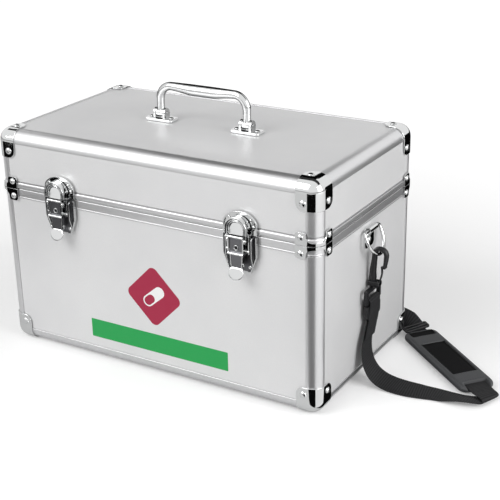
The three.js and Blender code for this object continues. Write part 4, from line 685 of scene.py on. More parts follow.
# %% [markdown]
# Webbing is thin at its selvedges and thickest where the ribs crest. A flat ribbon with a bump would
# look smooth along its edge, so the ribs are shape: a section swept through the stations, four to each
# rib. The map for the material is written while the sweep's own numbers are at hand.

# %% Strap webbing
WEBBING_WIDTH = 25.0
WEBBING_THICKNESS = 1.8
RIB_DEPTH = 0.32
ACROSS_SHARES = [-1, -0.96, -0.86, -0.5, 0, 0.5, 0.86, 0.96, 1]  # of half the width
DEPTH_SHARES = [0.35, 0.62, 0.8, 1, 1, 1, 0.8, 0.62, 0.35]  # of half the thickness


def woven(name, stations, width=WEBBING_WIDTH):
    """Flat webbing through stations, with cross ribs, thin selvedges and its own map in millimetres."""
    reach = width / 2
    section = list(zip(ACROSS_SHARES, DEPTH_SHARES))
    rings = []
    for i, (middle, edge, run) in enumerate(stations):
        along = stations[min(i + 1, len(stations) - 1)][0] - stations[max(i - 1, 0)][0]
        face = along.cross(edge).normalized()
        rib = RIB_DEPTH * (0.5 - 0.5 * math.cos(2 * math.pi * run / RIB_PITCH))
        half = WEBBING_THICKNESS / 2 - rib
        top = [middle + edge * (a * reach) + face * (d * half) for a, d in section]
        low = [middle + edge * (a * reach) - face * (d * half) for a, d in reversed(section)]
        rings.append(top + low)
    piece = finished(name, skin(rings), webbing_cloth, "case", ease=0)
    places = [a * reach for a in ACROSS_SHARES + ACROSS_SHARES[::-1]]
    uv = piece.data.uv_layers.new(name="strap_mm")
    for loop in piece.data.loops:
        ring, spot = divmod(loop.vertex_index, len(places))
        uv.data[loop.index].uv = (stations[ring][2], places[spot])
    return piece


strap = woven("strap", stations)
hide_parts("strap_webbing")
print("strap with", len(strap.data.polygons), "faces")

# %% [markdown]
# At each swivel the webbing goes through the square eye and is doubled back and sewn, and on the right
# its tail runs down through a slide. The doubled part is a second layer that wraps the eye's lower bar
# and follows the first one wherever that swings out.

# %% Doubled ends of the strap
EYE_BAR_HEIGHT = 89.9  # middle of the eye's lower bar
EYE_BAR_RADIUS = 2.2
STRAP_OUT = 5.8  # from the case's end to the middle of the hanging strap
RING_Y = 1.0
STRAIGHT_ABOVE = 72.0  # the height down to which the strap hangs straight
LAYER_GAP = 0.2
DOUBLED_TRIM = 0.6  # how much narrower the doubled layer is drawn, so that both edges show


def doubled_end(name, sign, drop):
    """A layer that starts on the inner side, wraps over the eye's lower bar and hangs outside."""
    wrap = EYE_BAR_RADIUS + WEBBING_THICKNESS / 2 + LAYER_GAP
    path = [(-wrap + 0.9, -14), (-wrap + 0.1, -6), *arc(0, 0, wrap, wrap, 180, 0, FINE), (wrap - 0.2, -6)]
    path += [(WEBBING_THICKNESS + 0.4, -14)]
    path += [(WEBBING_THICKNESS + 0.3, -d) for d in range(20, drop, 4)]
    hangs = Vector((sign * (HALF_WIDTH + STRAP_OUT), RING_Y, EYE_BAR_HEIGHT))
    points = []
    for out, rise in path:
        point = hangs + Vector((sign * out, 0, rise))
        if point.z < STRAIGHT_ABOVE:
            beside = min((m for m, _, _ in stations if m.x * sign > 0), key=lambda m: abs(m.z - point.z))
            point += Vector((beside.x - hangs.x, beside.y - hangs.y, 0))
        points.append(point)
    fine, run = [], 0.0
    for a, b in zip(points, points[1:]):
        steps = max(1, round((b - a).length / (RIB_PITCH / RIB_STEPS)))
        for k in range(steps):
            fine.append((a.lerp(b, k / steps), Vector((0, sign, 0)), run + (b - a).length * k / steps))
        run += (b - a).length
    fine.append((points[-1], Vector((0, sign, 0)), run))
    return woven(name, fine, width=WEBBING_WIDTH - DOUBLED_TRIM)


strap_ends = [doubled_end("strap_doubled_right", 1, 42), doubled_end("strap_doubled_left", -1, 30)]
print("doubled ends:", [piece.name for piece in strap_ends])

# %% [markdown]
# Two rows of thread hold each doubled end. The thread is twisted polyester with a slight gloss. A curve
# with a bevel could follow the whole seam, but only the stitches on top show, so each is a short, fat
# grain of its own, lying across the webbing.

# %% Stitches
STITCH_LENGTH, STITCH_THICKNESS = 1.9, 0.45
PLY = 0.4  # the thread's twist comes round at this length

thread_black, tree, shader = surface("polyester_thread", Base_Color=linear("#2b2b2d"), Roughness=0.5)
twist = node(tree, "TexWave", {"Vector": place_mm(tree), "Scale": WAVE_REPEAT / PLY, "Distortion": 1.0})
feed(tree, shader, "Normal", "Bump", {"Height": twist.outputs["Fac"], "Strength": 0.3, "Distance": 0.1 * MM})


def stitches(name, spots, length=STITCH_LENGTH):
    """Rows of stitches, each given by its middle, the way it runs and the way out of the cloth."""
    grains = []
    for middle, way, out in spots:
        side = way.cross(out).normalized() * STITCH_THICKNESS
        grain = bmesh.new()
        bmesh.ops.create_uvsphere(grain, u_segments=6, v_segments=4, radius=0.5)
        lie = axes(way.normalized() * length, side, out.normalized() * STITCH_THICKNESS)
        grains.append(moved(grain, Matrix.Translation(middle) @ lie))
    return finished(name, joined(*grains), thread_black, "case", ease=0)


END_ROWS = (81.0, 77.5)  # heights of the rows
END_STITCHES, END_PITCH = 9, 2.5
stitch_out = HALF_WIDTH + STRAP_OUT + WEBBING_THICKNESS * 1.5 + 0.4
end_spots = []
for sign in (1, -1):
    for row in END_ROWS:
        for k in range(END_STITCHES):
            y = RING_Y + (k - (END_STITCHES - 1) / 2) * END_PITCH
            end_spots.append((Vector((sign * stitch_out, y, row)), Y_AXIS, X_AXIS * sign))
strap_stitches = stitches("strap_stitches", end_spots)
print(len(end_spots), "stitches hold the ends")

# %% [markdown]
# The shoulder pad is one soft moulding: a raised border, two cross bands, sunk fields between them for
# the knitted mesh, and an open mouth where the webbing comes out. Cutting the fields from a block would
# leave hard edges. Its top is drawn instead as a height over the pad's plan, where every step is a
# smooth ramp, and its sides pull in between top and bottom as a cushion's do.

# %% Shoulder pad
PAD_LENGTH, PAD_WIDTH, PAD_THICKNESS = 144.0, 41.0, 9.5
PAD_LIFT = 0.4  # over the floor
PAD_CORNER = 11.0
PAD_CROWN = 0.6
PAD_BORDER = 6.0
PAD_SINK = 1.7
PAD_FIELDS = [(-41.0, 34.6), (53.5, 66.0)]  # sunk stretches along the pad, each side of its far band
PAD_MOUTH_END, PAD_MOUTH_DEPTH = -59.0, 6.6
PAD_MOUTH_INSIDE, PAD_MOUTH_OUTSIDE = 12.8, 14.4  # where its side ramps down and where it starts
PAD_RAMP, PAD_SIDE_RAMP = 1.4, 1.2  # how long each step down is
pad_end = Vector((325.5, 15.6, 0))
pad_axis = Vector((-0.765, 0.644, 0)).normalized()
pad_across = pad_axis.cross(Z_AXIS)
pad_matrix = Matrix.Translation(pad_end + pad_axis * PAD_LENGTH / 2) @ axes(pad_axis, -pad_across, Z_AXIS)


def smooth(value, low, high):
    """0 below low, 1 above high and a smooth ramp between."""
    share = min(max((value - low) / (high - low), 0), 1)
    return share * share * (3 - 2 * share)


def pad_half_width(u):
    """Half the pad's width at u along it, with its round corners."""
    past = abs(u) - (PAD_LENGTH / 2 - PAD_CORNER)
    flat = PAD_WIDTH / 2
    if past <= 0:
        return flat
    return flat - PAD_CORNER + math.sqrt(max(PAD_CORNER**2 - past**2, 0))


def pad_sunk(u, v):
    """How far the top is sunk at a point: 1 on a field's floor, 0 on the border and bands."""
    inside = PAD_WIDTH / 2 - PAD_BORDER
    side = 1 - smooth(abs(v), inside - PAD_SIDE_RAMP, inside)
    starts = [smooth(u, low, low + PAD_RAMP) for low, _ in PAD_FIELDS]
    stops = [1 - smooth(u, high - PAD_RAMP, high) for _, high in PAD_FIELDS]
    return side * max(a * b for a, b in zip(starts, stops))


def pad_top(u, v):
    """Height of the pad's top at u along it and v across."""
    crown = PAD_CROWN * (1 - (v / (PAD_WIDTH / 2)) ** 2) * (1 - (u / (PAD_LENGTH / 2)) ** 4)
    open_side = 1 - smooth(abs(v), PAD_MOUTH_INSIDE, PAD_MOUTH_OUTSIDE)
    mouth = (1 - smooth(u, PAD_MOUTH_END - PAD_RAMP, PAD_MOUTH_END)) * open_side
    whole = PAD_LIFT + PAD_THICKNESS - PAD_CROWN + crown
    return whole - PAD_SINK * pad_sunk(u, v) - PAD_MOUTH_DEPTH * mouth


def shoulder_pad():
    """The moulding, as one closed skin through sections across it."""
    reach = PAD_LENGTH / 2
    waist = PAD_LIFT + PAD_THICKNESS * 0.45
    shares = [math.sin(math.radians(a)) for a in range(-84, 85, 4)]
    stops = {round(reach * math.sin(math.radians(a)), 3) for a in range(-88, 89, 2)}
    stops |= {end + PAD_RAMP * k / 2 for field in PAD_FIELDS for end in field for k in range(-2, 3)}
    stops |= {PAD_MOUTH_END + d for d in (-PAD_RAMP, -0.9, -0.4, 0)}
    rings = []
    for u in sorted(stops):
        half = pad_half_width(u)
        ends = min(1, math.sqrt(max(1 - (abs(u) / reach) ** 16, 0.0)))
        top, low = [], []
        for s in shares:
            edge = (1 - abs(s) ** 10) ** 0.5 * ends
            top.append((u, half * s, waist + (pad_top(u, half * s) - waist) * edge))
            low.append((u, half * s, waist - (waist - PAD_LIFT) * edge))
        rings.append(top + low[::-1])
    return moved(skin(rings), pad_matrix)


pad_shape = shoulder_pad()
pad = finished("shoulder_pad_moulding", pad_shape, vinyl, "case", ["shoulder_pad"], ease=0)
print("pad of", PAD_LENGTH, "by", PAD_WIDTH, "by", PAD_THICKNESS, "mm")

# %% [markdown]
# The mesh in the sunk fields is cloth over a thin foam, held down along its edge, so it swells a little
# in the middle. A bulge could be drawn by formula, but Blender's cloth gives the true one: a grid that
# lies on the field is pinned at its rim and blown up from below, and the result is kept.

# %% Knitted mesh fields
SWELL_FRAMES = 18
SWELL_PRESSURE = 4.0
SWELL_CAP = 1.1  # the most that the mesh may rise
MESH_GRID = 1.6
MESH_LIFT, MESH_THICKNESS = 0.12, 0.5
MESH_EDGE_GAP = 0.6  # between a field's end and the mesh
MESH_TUCK = 0.2  # how far its sides go under the border


def swollen(piece):
    """Blows a pinned sheet up with Blender's cloth and applies the result."""
    rim = piece.vertex_groups.new(name="rim")
    shape = bmesh.new()
    shape.from_mesh(piece.data)
    rim.add([v.index for v in shape.verts if v.is_boundary], 1.0, "REPLACE")
    shape.free()
    start = [v.co.copy() for v in piece.data.vertices]
    cloth = piece.modifiers.new("swell", "CLOTH")
    cloth.settings.vertex_group_mass = "rim"
    cloth.settings.use_pressure = True
    cloth.settings.uniform_pressure_force = SWELL_PRESSURE
    cloth.settings.effector_weights.gravity = 0
    cloth.settings.mass = 0.2
    for step in range(1, SWELL_FRAMES + 1):
        bpy.context.scene.frame_set(step)
    mesh = piece.evaluated_get(bpy.context.evaluated_depsgraph_get()).data
    ends = [v.co.copy() for v in mesh.vertices]
    piece.modifiers.remove(cloth)
    bpy.context.scene.frame_set(1)
    most = max((b - a).z for a, b in zip(start, ends))
    share = min(1, SWELL_CAP * MM / most) if most > 0 else 0
    for vertex, a, b in zip(piece.data.vertices, start, ends):
        vertex.co = a + (b - a) * share
    piece.vertex_groups.clear()


def mesh_field(name, low, high):
    """One knitted field: a fine sheet that covers a sunk stretch of the pad."""
    half = PAD_WIDTH / 2 - PAD_BORDER + MESH_TUCK
    columns, rows = round((high - low) / MESH_GRID), round(2 * half / MESH_GRID)
    shape = bmesh.new()
    bmesh.ops.create_grid(shape, x_segments=columns, y_segments=rows, size=1)
    for vertex in shape.verts:
        u, v = (low + high) / 2 + vertex.co.x * (high - low) / 2, vertex.co.y * half
        vertex.co = Vector((u, v, pad_top(u, v) + MESH_LIFT))
    bmesh.ops.scale(shape, vec=(MM,) * 3, verts=shape.verts)
    sheet = as_object(shape, name)
    swollen(sheet)
    place = pad_matrix.copy()
    place.translation *= MM
    sheet.data.transform(place)
    sheet.data.materials.append(mesh_cloth)
    thick = sheet.modifiers.new("thickness", "SOLIDIFY")
    thick.thickness = MESH_THICKNESS * MM
    thick.offset = -1
    sheet.data.shade_smooth()
    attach(sheet, "case")
    return sheet


for i, (low, high) in enumerate(PAD_FIELDS):
    mesh_field(f"shoulder_pad_mesh_{i + 1}", low + MESH_EDGE_GAP, high - MESH_EDGE_GAP)

# %% [markdown]
# A row of stitches runs just inside each long side of the pad, and one along both edges of each cross
# band. They are the same grains as on the strap, set on the pad's own top.

# %% Pad stitches
PAD_STITCH_LENGTH, PAD_STITCH_PITCH = 2.0, 3.0
PAD_STITCH_INSET = 3.0  # from the pad's side to the row
BAND_STITCH_INSET = 1.6  # from a band's edge to its row
STITCH_LIFT = 0.02
side_run = PAD_LENGTH - 2 * PAD_CORNER
pad_bands = ((PAD_MOUTH_END, PAD_FIELDS[0][0]), (PAD_FIELDS[0][1], PAD_FIELDS[1][0]))

rows = []
for v in (PAD_STITCH_INSET - PAD_WIDTH / 2, PAD_WIDTH / 2 - PAD_STITCH_INSET):
    count = int(side_run / PAD_STITCH_PITCH) + 1
    rows += [(-side_run / 2 + k * PAD_STITCH_PITCH, v, pad_axis) for k in range(count)]
for low, high in pad_bands:
    for u in (low + BAND_STITCH_INSET, high - BAND_STITCH_INSET):
        rows += [(u, k * PAD_STITCH_PITCH, pad_across) for k in range(-4, 5)]
pad_spots = [(pad_matrix @ Vector((u, v, pad_top(u, v) + STITCH_LIFT)), way, Z_AXIS) for u, v, way in rows]
pad_stitches = stitches("shoulder_pad_stitches", pad_spots, length=PAD_STITCH_LENGTH)
print(len(pad_spots), "stitches on the pad")

# %% [markdown]
# Two slides take up the strap's length: a thick one below the right swivel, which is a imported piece,
# and a thin three-bar keeper behind the pad. The keeper is a plate with two slots, and it lies on the
# webbing in the webbing's own slant.

# %% Slides on the strap
KEEPER_LENGTH, KEEPER_WIDTH, KEEPER_HALF_THICKNESS = 13.0, 31.0, 1.3
KEEPER_SLOT = (1.3, 4.6, 12.8)  # from and to along the strap, and half across it
KEEPER_LIFT = 2.4
KEEPER_SPOT = Vector((211.6, 112.9, 6.4))
KEEPER_ACROSS = Vector((0.619, 0.78, 0.1)).normalized()


def keeper(name):
    """A three-bar slide lying on the strap, with the webbing going over its middle bar."""
    out = KEEPER_ACROSS.cross(pad_axis).normalized()
    x, y = KEEPER_LENGTH / 2, KEEPER_WIDTH / 2
    near, far, side = KEEPER_SLOT
    plate = carved(
        prism(rounded(-x, -y, x, y, 3), -KEEPER_HALF_THICKNESS, KEEPER_HALF_THICKNESS),
        ("cut", prism(rounded(-far, -side, -near, side, 0.6), -OVER, OVER)),
        ("cut", prism(rounded(near, -side, far, side, 0.6), -OVER, OVER)),
    )
    place = Matrix.Translation(KEEPER_SPOT + out * KEEPER_LIFT) @ axes(pad_axis, KEEPER_ACROSS, out)
    return finished(name, moved(plate, place), acetal, "case", ease=0.7)


dressed("strap_slider", acetal, 0.9)
keeper_piece = keeper("strap_keeper")

# %% [markdown]
# The shell's edges are one extruded angle, bent round the case and rounded at its corners. A profile
# could be swept along all the edges, but three sweeps would still have to be joined at each corner. A
# block with round edges has them all at once: it is hollowed, a window is opened in each face for the
# boards, and each half keeps its own part.

# %% Edge frames
FRAME_WALL, FRAME_BORDER = 6.0, 14.0


def edge_frame(name, body, node_name):
    """The frame of one half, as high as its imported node."""
    low, high = (corner.z for corner in box_mm(node_name))
    inner_x, inner_y = HALF_WIDTH - FRAME_WALL, HALF_DEPTH - FRAME_WALL
    inner_low, inner_high = BOX_BOTTOM + FRAME_WALL, CASE_TOP - FRAME_WALL
    open_x, open_y = HALF_WIDTH - FRAME_BORDER, HALF_DEPTH - FRAME_BORDER
    open_low, open_high = BOX_BOTTOM + FRAME_BORDER, CASE_TOP - FRAME_BORDER
    shape = carved(
        soft_block((-HALF_WIDTH, -HALF_DEPTH, BOX_BOTTOM), (HALF_WIDTH, HALF_DEPTH, CASE_TOP), EDGE_RADIUS),
        ("keep", block((-BIG, -BIG, low), (BIG, BIG, high))),
        ("cut", block((-inner_x, -inner_y, inner_low), (inner_x, inner_y, inner_high))),
        ("cut", block((-BIG, -open_y, open_low), (BIG, open_y, open_high))),
        ("cut", block((-open_x, -BIG, open_low), (open_x, BIG, open_high))),
        ("cut", block((-open_x, -open_y, -OVER), (open_x, open_y, BIG))),
    )
    return finished(name, shape, aluminium, body, [node_name], ease=0.35)


edge_frame("body_edges", "case", "body_frame")
edge_frame("lid_edges", "lid", "lid_frame")

boards = [node_name for node_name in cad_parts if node_name.endswith("_panel")]
for node_name in boards:
    dressed(node_name, board, 0.3)
print("two frames, and", len(boards), "boards in them")

# %% [markdown]
# Two extrusions meet at the seam. The lid's carries a round rib that stands proud as a bright line. The
# body's has a thin bead along its foot, and a tongue that fits inside the lid's. Each is one profile
# carried round the case, as the real bar is bent, so its lines run through the corners unbroken.

# %% Seam extrusions
RIM_STEPS = 12  # in each round corner
TONGUE_RISE, TONGUE_IN = 2.5, 4.5  # above the body's edge, and inward from the case's side
LIP_RISE, LIP_IN = 2.2, 4.2  # the lid's lip, outside the tongue
RIM_PROUD, BEAD_PROUD, BEAD_HEIGHT, BEAD_STEPS = 0.3, 0.6, 1.6, 8
RIB_PROUD, RIB_HEIGHT, RIB_RISE, RIB_TURNS = 0.9, 5.0, 1.7, 12
GROOVE = 0.35  # depth of the fine groove above the bead
CREASE = 0.5  # depth of the one along each side of the rib


def round_the_case(profile):
    """A profile of (outward, height) pairs carried round the case's plan, with its round corners."""
    rings = []
    for turn, (sx, sy) in enumerate(((1, 1), (-1, 1), (-1, -1), (1, -1))):
        cx, cy = sx * (HALF_WIDTH - EDGE_RADIUS), sy * (HALF_DEPTH - EDGE_RADIUS)
        for x, y in arc(0, 0, 1, 1, 90 * turn, 90 * turn + 90, RIM_STEPS):
            reaches = [(EDGE_RADIUS + out, z) for out, z in profile]
            rings.append([(cx + x * reach, cy + y * reach, z) for reach, z in reaches])
    return skin(rings, closed=True)


def bulge(low, height, seat, proud, steps):
    """The turns of a half round line on a profile: how it stands out of its seat, and its heights."""
    turns = [math.pi * k / steps for k in range(steps + 1)]
    return [(seat, proud - seat, math.sin(t), low + height * (1 - math.cos(t)) / 2) for t in turns]


body_rim_low, body_rim_high = (corner.z for corner in box_mm("body_rim"))
body_edge = body_rim_high - TONGUE_RISE
bead_top = body_rim_low + BEAD_HEIGHT
bead = bulge(body_rim_low, BEAD_HEIGHT, RIM_PROUD, BEAD_PROUD, BEAD_STEPS)
body_profile = [
    (-FRAME_WALL, body_rim_low),
    *[(seat + proud * share, z) for seat, proud, share, z in bead],
    (RIM_PROUD - GROOVE, bead_top + 0.15),
    (RIM_PROUD - GROOVE, bead_top + 0.5),
    (RIM_PROUD, bead_top + 0.75),
    (RIM_PROUD, body_edge - 0.5),
    (RIM_PROUD - 0.4, body_edge),
    (-TONGUE_IN, body_edge),
    (-TONGUE_IN, body_rim_high),
    (-FRAME_WALL, body_rim_high),
]

lid_rim_low, lid_rim_high = (corner.z for corner in box_mm("lid_rim"))
rib_low = lid_rim_low + RIB_RISE
rib_top = rib_low + RIB_HEIGHT
rib = bulge(rib_low, RIB_HEIGHT, 0.05, RIB_PROUD, RIB_TURNS)[1:-1]
lid_profile = [
    (-LIP_IN, lid_rim_low),
    (-0.4, lid_rim_low),
    (0, lid_rim_low + 0.4),
    (0, rib_low - 0.3),
    (-CREASE, rib_low - 0.1),
    (-CREASE, rib_low + 0.1),
    *[(seat + proud * share**0.8, z) for seat, proud, share, z in rib],
    (-CREASE, rib_top - 0.1),
    (-CREASE, rib_top + 0.1),
    (0, rib_top + 0.3),
    (0, lid_rim_high),
    (-FRAME_WALL, lid_rim_high),
    (-FRAME_WALL, lid_rim_low + LIP_RISE),
    (-LIP_IN, lid_rim_low + LIP_RISE),
]
for name, profile, body, node_name in (
    ("body_seam_extrusion", body_profile, "case", "body_rim"),
    ("lid_seam_extrusion", lid_profile, "lid", "lid_rim"),
):
    finished(name, round_the_case(profile), aluminium, body, [node_name], ease=0)
    print(name, "from a profile of", len(profile), "points")

# %% [markdown]
# The corner caps are pressed from one steel blank, so each is a thin shell of even thickness over the
# round corner, with three wings. Bending a flat wing over the corner would stretch it unevenly. The
# difference of two round blocks gives the even shell, and the wings' outlines trim it from three sides.
# A corner is drawn once, round the point where its three faces would meet, and mirrored to its places.

# %% Corner caps
FIT = 0.3  # between a plate and what it lies on
CAP_THICKNESS = 0.9
CAP_REACH = (25.0, 27.0, 31.0)  # along the width, the depth and the height
CAP_ROUNDING = 9.0
CAP_TURNS = 9  # segments over the round corner
RIVET_RADIUS, RIVET_DOME = 3.7, 1.9
RIVET_INSET, TOP_RIVET_INSET = 8.0, 10.6  # from a wing's end
RIVET_REST = 0.05  # how far a head is let in
CORNER_BLOCK = 60.0
CORNERS = {"front_left": (-1, -1), "front_right": (1, -1), "back_left": (-1, 1), "back_right": (1, 1)}
TO_SIDE = axes(Y_AXIS, Z_AXIS, X_AXIS)  # from a drawing on top of the corner to its two other faces
TO_FRONT = axes(Z_AXIS, X_AXIS, Y_AXIS)


def wing(reach_a, reach_b):
    """A wing's outline, reaching back from the corner with its inner corner rounded."""
    turn = arc(CAP_ROUNDING - reach_a, CAP_ROUNDING - reach_b, CAP_ROUNDING, CAP_ROUNDING, 180, 270, FINE)
    return [(OVER, OVER), (-reach_a, OVER), *turn, (OVER, -reach_b)]


def round_corner(growth):
    """A round-edged block with one corner over the case's, grown outward by this much."""
    far = -CORNER_BLOCK - growth
    return soft_block((far,) * 3, (growth,) * 3, EDGE_RADIUS + growth, CAP_TURNS)


def corner_cap(top_rivet):
    """A cap over the corner at the origin, with two or three rivets."""
    width, depth, height = CAP_REACH
    back = -EDGE_RADIUS
    wings = carved(
        prism(wing(width, depth), back, OVER),
        ("add", moved(prism(wing(depth, height), back, OVER), TO_SIDE)),
        ("add", moved(prism(wing(height, width), back, OVER), TO_FRONT)),
    )
    shell = carved(round_corner(FIT + CAP_THICKNESS), ("cut", round_corner(FIT)), ("keep", wings))
    seat = FIT + CAP_THICKNESS - RIVET_REST
    on_width, on_depth, on_height = (RIVET_INSET - reach for reach in CAP_REACH)
    heads = [
        moved(rivet(on_depth, on_height, seat, RIVET_RADIUS, RIVET_DOME), TO_SIDE),
        moved(rivet(on_height, on_width, seat, RIVET_RADIUS, RIVET_DOME), TO_FRONT),
    ]
    if top_rivet:
        heads.append(rivet(on_width, TOP_RIVET_INSET - depth, seat, RIVET_RADIUS, RIVET_DOME))
    return joined(shell, *heads)


def at_corner(shape, side, height, up):
    """A corner drawing mirrored to one of the case's corners at this height."""
    sx, sy = CORNERS[side]
    place = Matrix.Translation((sx * HALF_WIDTH, sy * HALF_DEPTH, height)) @ Matrix.Diagonal((sx, sy, up, 1))
    return moved(shape, place)


for half, body, height, up in (("body", "case", BOX_BOTTOM, -1), ("lid", "lid", CASE_TOP, 1)):
    cap = corner_cap(top_rivet=up > 0)
    print("cap of the", half, "with", len(cap.faces), "faces, four times")
    for side in CORNERS:
        placed, node_name = at_corner(cap.copy(), side, height, up), f"{half}_corner_{side}"
        finished(f"{half}_cap_{side}", placed, chrome, body, [node_name], ease=0.3)
    cap.free()

# %% [markdown]
# At the seam each corner has a pair of plated brackets, one on the body and one on the lid. Each has an
# ear on both faces with one rivet, and a narrow strip that bends round the corner beside the seam. The
# bent strip's section is pushed up as high as the ears, and the outline seen from each face trims it.

# %% Seam brackets
STAND_OFF = RIB_PROUD + FIT  # plates at the seam lie over the rib
BRACKET_THICKNESS, BRACKET_RIVET = 1.0, 3.4
BRACKET_REACH, BRACKET_RISE = 25.0, 13.5
BRACKET_EAR, BRACKET_STRIP = 12.0, 3.3  # the ear's width and the strip's height
FILLET, EAR_ROUNDING, EAR_CORNER = 8.0, 3.0, 2.0


def seam_bracket():
    """A bracket over the corner at the origin, with the seam at its foot."""
    inner, outer = EDGE_RADIUS + STAND_OFF, EDGE_RADIUS + STAND_OFF + BRACKET_THICKNESS
    middle = -EDGE_RADIUS
    section = [
        (-CORNER_BLOCK, STAND_OFF),
        *arc(middle, middle, inner, inner, 90, 0, FINE),
        (STAND_OFF, -CORNER_BLOCK),
        (STAND_OFF + BRACKET_THICKNESS, -CORNER_BLOCK),
        *arc(middle, middle, outer, outer, 0, 90, FINE),
        (-CORNER_BLOCK, STAND_OFF + BRACKET_THICKNESS),
    ]
    ear_end, foot = BRACKET_EAR - BRACKET_REACH, FIT + BRACKET_STRIP
    climb = BRACKET_RISE - FIT - BRACKET_STRIP - EAR_CORNER
    shares = [k / FINE for k in range(FINE + 1)]
    ear = [
        (-BRACKET_REACH, FIT),
        (OVER, FIT),
        (OVER, foot),
        *[(ear_end + FILLET * (1 - share) ** 2, foot + climb * share**2) for share in shares],
        *arc(ear_end - EAR_CORNER, BRACKET_RISE - EAR_CORNER, EAR_CORNER, EAR_CORNER, 0, 90, 4),
    ]
    round_x, round_y = EAR_ROUNDING - BRACKET_REACH, BRACKET_RISE - EAR_ROUNDING
    ear += arc(round_x, round_y, EAR_ROUNDING, EAR_ROUNDING, 90, 180, 6)
    back = -EDGE_RADIUS / 2
    flipped = [(y, x) for x, y in reversed(ear)]
    outlines = carved(
        moved(prism(ear, back, OVER), TO_SIDE),
        ("add", moved(prism(flipped, back, OVER), TO_FRONT)),
    )
    shell = carved(prism(section, 0, BRACKET_RISE + 1), ("keep", outlines))
    along, rise = BRACKET_EAR / 2 - BRACKET_REACH, (BRACKET_RISE + BRACKET_STRIP) / 2
    seat = STAND_OFF + BRACKET_THICKNESS - RIVET_REST
    side_head = moved(rivet(along, rise, seat, BRACKET_RIVET, RIVET_DOME), TO_SIDE)
    front_head = moved(rivet(rise, along, seat, BRACKET_RIVET, RIVET_DOME), TO_FRONT)
    return joined(shell, side_head, front_head)


bracket = seam_bracket()
print("bracket with", len(bracket.faces), "faces, eight times")
for half, body, up in (("body", "case", -1), ("lid", "lid", 1)):
    for side in CORNERS:
        placed, node_name = at_corner(bracket.copy(), side, SEAM, up), f"{half}_bracket_{side}"
        finished(f"{half}_seam_bracket_{side}", placed, chrome, body, [node_name], ease=0.25)
bracket.free()

# %% [markdown]
# A latch has five pieces: the strike with its keeper on the lid, the base plate on the body, the lever
# that pivots between the base's lugs, the key barrel in the lever, and the arched hasp that the lever
# pulls down over the keeper. All are drawn in the front's own axes: X across, Y up from the seam and Z
# out. Pressed sheet could be bent flat by flat, but only its outlines and edges show at this size, so
# plates are pushed outlines. The strike comes first. Its field is bellied, because a polished flat one
# would mirror a single tone.

# %% Strike
PLATE = 1.2
STRIKE_HALF, STRIKE_LOW, STRIKE_TOP = 19.5, 0.6, 24.0
ARCH_SHARE, INNER_ARCH_SHARE = 0.42, 0.5  # where an arch starts, as a share of its height
STRIKE_ROLL, STRIKE_WALL = 1.2, 0.9  # how far its rolled rim stands out, and how thick it is
plate_front = STAND_OFF + PLATE


def arch(half, bottom, top, shoulder_share=None):
    """A plate's outline with a round top, or a flattened one that starts at a share of its height."""
    shoulder = top - half if shoulder_share is None else bottom + (top - bottom) * shoulder_share
    return [(-half, bottom), (half, bottom), *arc(0, shoulder, half, top - shoulder, 0, 180)]


def crowned(outline, back, front, crown):
    """A plate bellied across its width, so that a mirror finish shades from one side to the other."""
    reach = max(x for x, _ in outline)
    heights = sorted({round(y, 3) for x, y in outline if x > 0.4})
    shares = [math.sin(math.radians(a)) for a in range(-90, 91, 15)]
    rings = []
    for y in heights:
        half = max(x for x, level in outline if abs(level - y) < 0.001)
        face = [(half * s, y, front + crown * (1 - (half * s / reach) ** 2)) for s in shares]
        rings.append(face + [(x, y, back) for x, _, _ in reversed(face)])
    return skin(rings)


def strike():
    """The bright parts of the strike: its rolled rim, its keeper and shelf, and its rivets."""
    outer = arch(STRIKE_HALF, STRIKE_LOW, STRIKE_TOP, ARCH_SHARE)
    inner = arch(STRIKE_HALF - STRIKE_WALL, -OVER, STRIKE_TOP - STRIKE_WALL, INNER_ARCH_SHARE)
    rim = carved(
        prism(outer, STAND_OFF, plate_front + STRIKE_ROLL),
        ("cut", prism(inner, STAND_OFF - 1, plate_front + OVER)),
    )
    keeper_block = soft_block((-5, 13.4, STAND_OFF), (5, 17, plate_front + 5.2), 0.8, 4)
    shelf = soft_block((-10, 11.0, STAND_OFF), (10, 13.2, plate_front + 1.4), 0.7, 4)
    heads = [rivet(s * 15.4, 9.4, plate_front + 0.3, 2.2, 1.2) for s in (-1, 1)]
    heads += [rivet(s * 12.6, 16.4, plate_front + 0.5, 1.6, 0.9) for s in (-1, 1)]
    return joined(rim, keeper_block, shelf, *heads)


def strike_field():
    """The bellied sheet inside the strike's rim."""
    outline = arch(STRIKE_HALF - 0.3, STRIKE_LOW + 0.1, STRIKE_TOP - 0.3, ARCH_SHARE)
    return crowned(outline, STAND_OFF + 0.1, plate_front - 0.5, 1.1)


print("strike", 2 * STRIKE_HALF, "mm wide, its plate's front", round(plate_front, 2), "mm out")

# %% [markdown]
# The base plate narrows downward. Its edge is turned up all round, two inner rails guard the lever's
# sides, and a pin joins its lugs. The wall is the plate's outline with a slightly smaller one cut out,
# left open at the foot, where the lever's tab hangs over it.

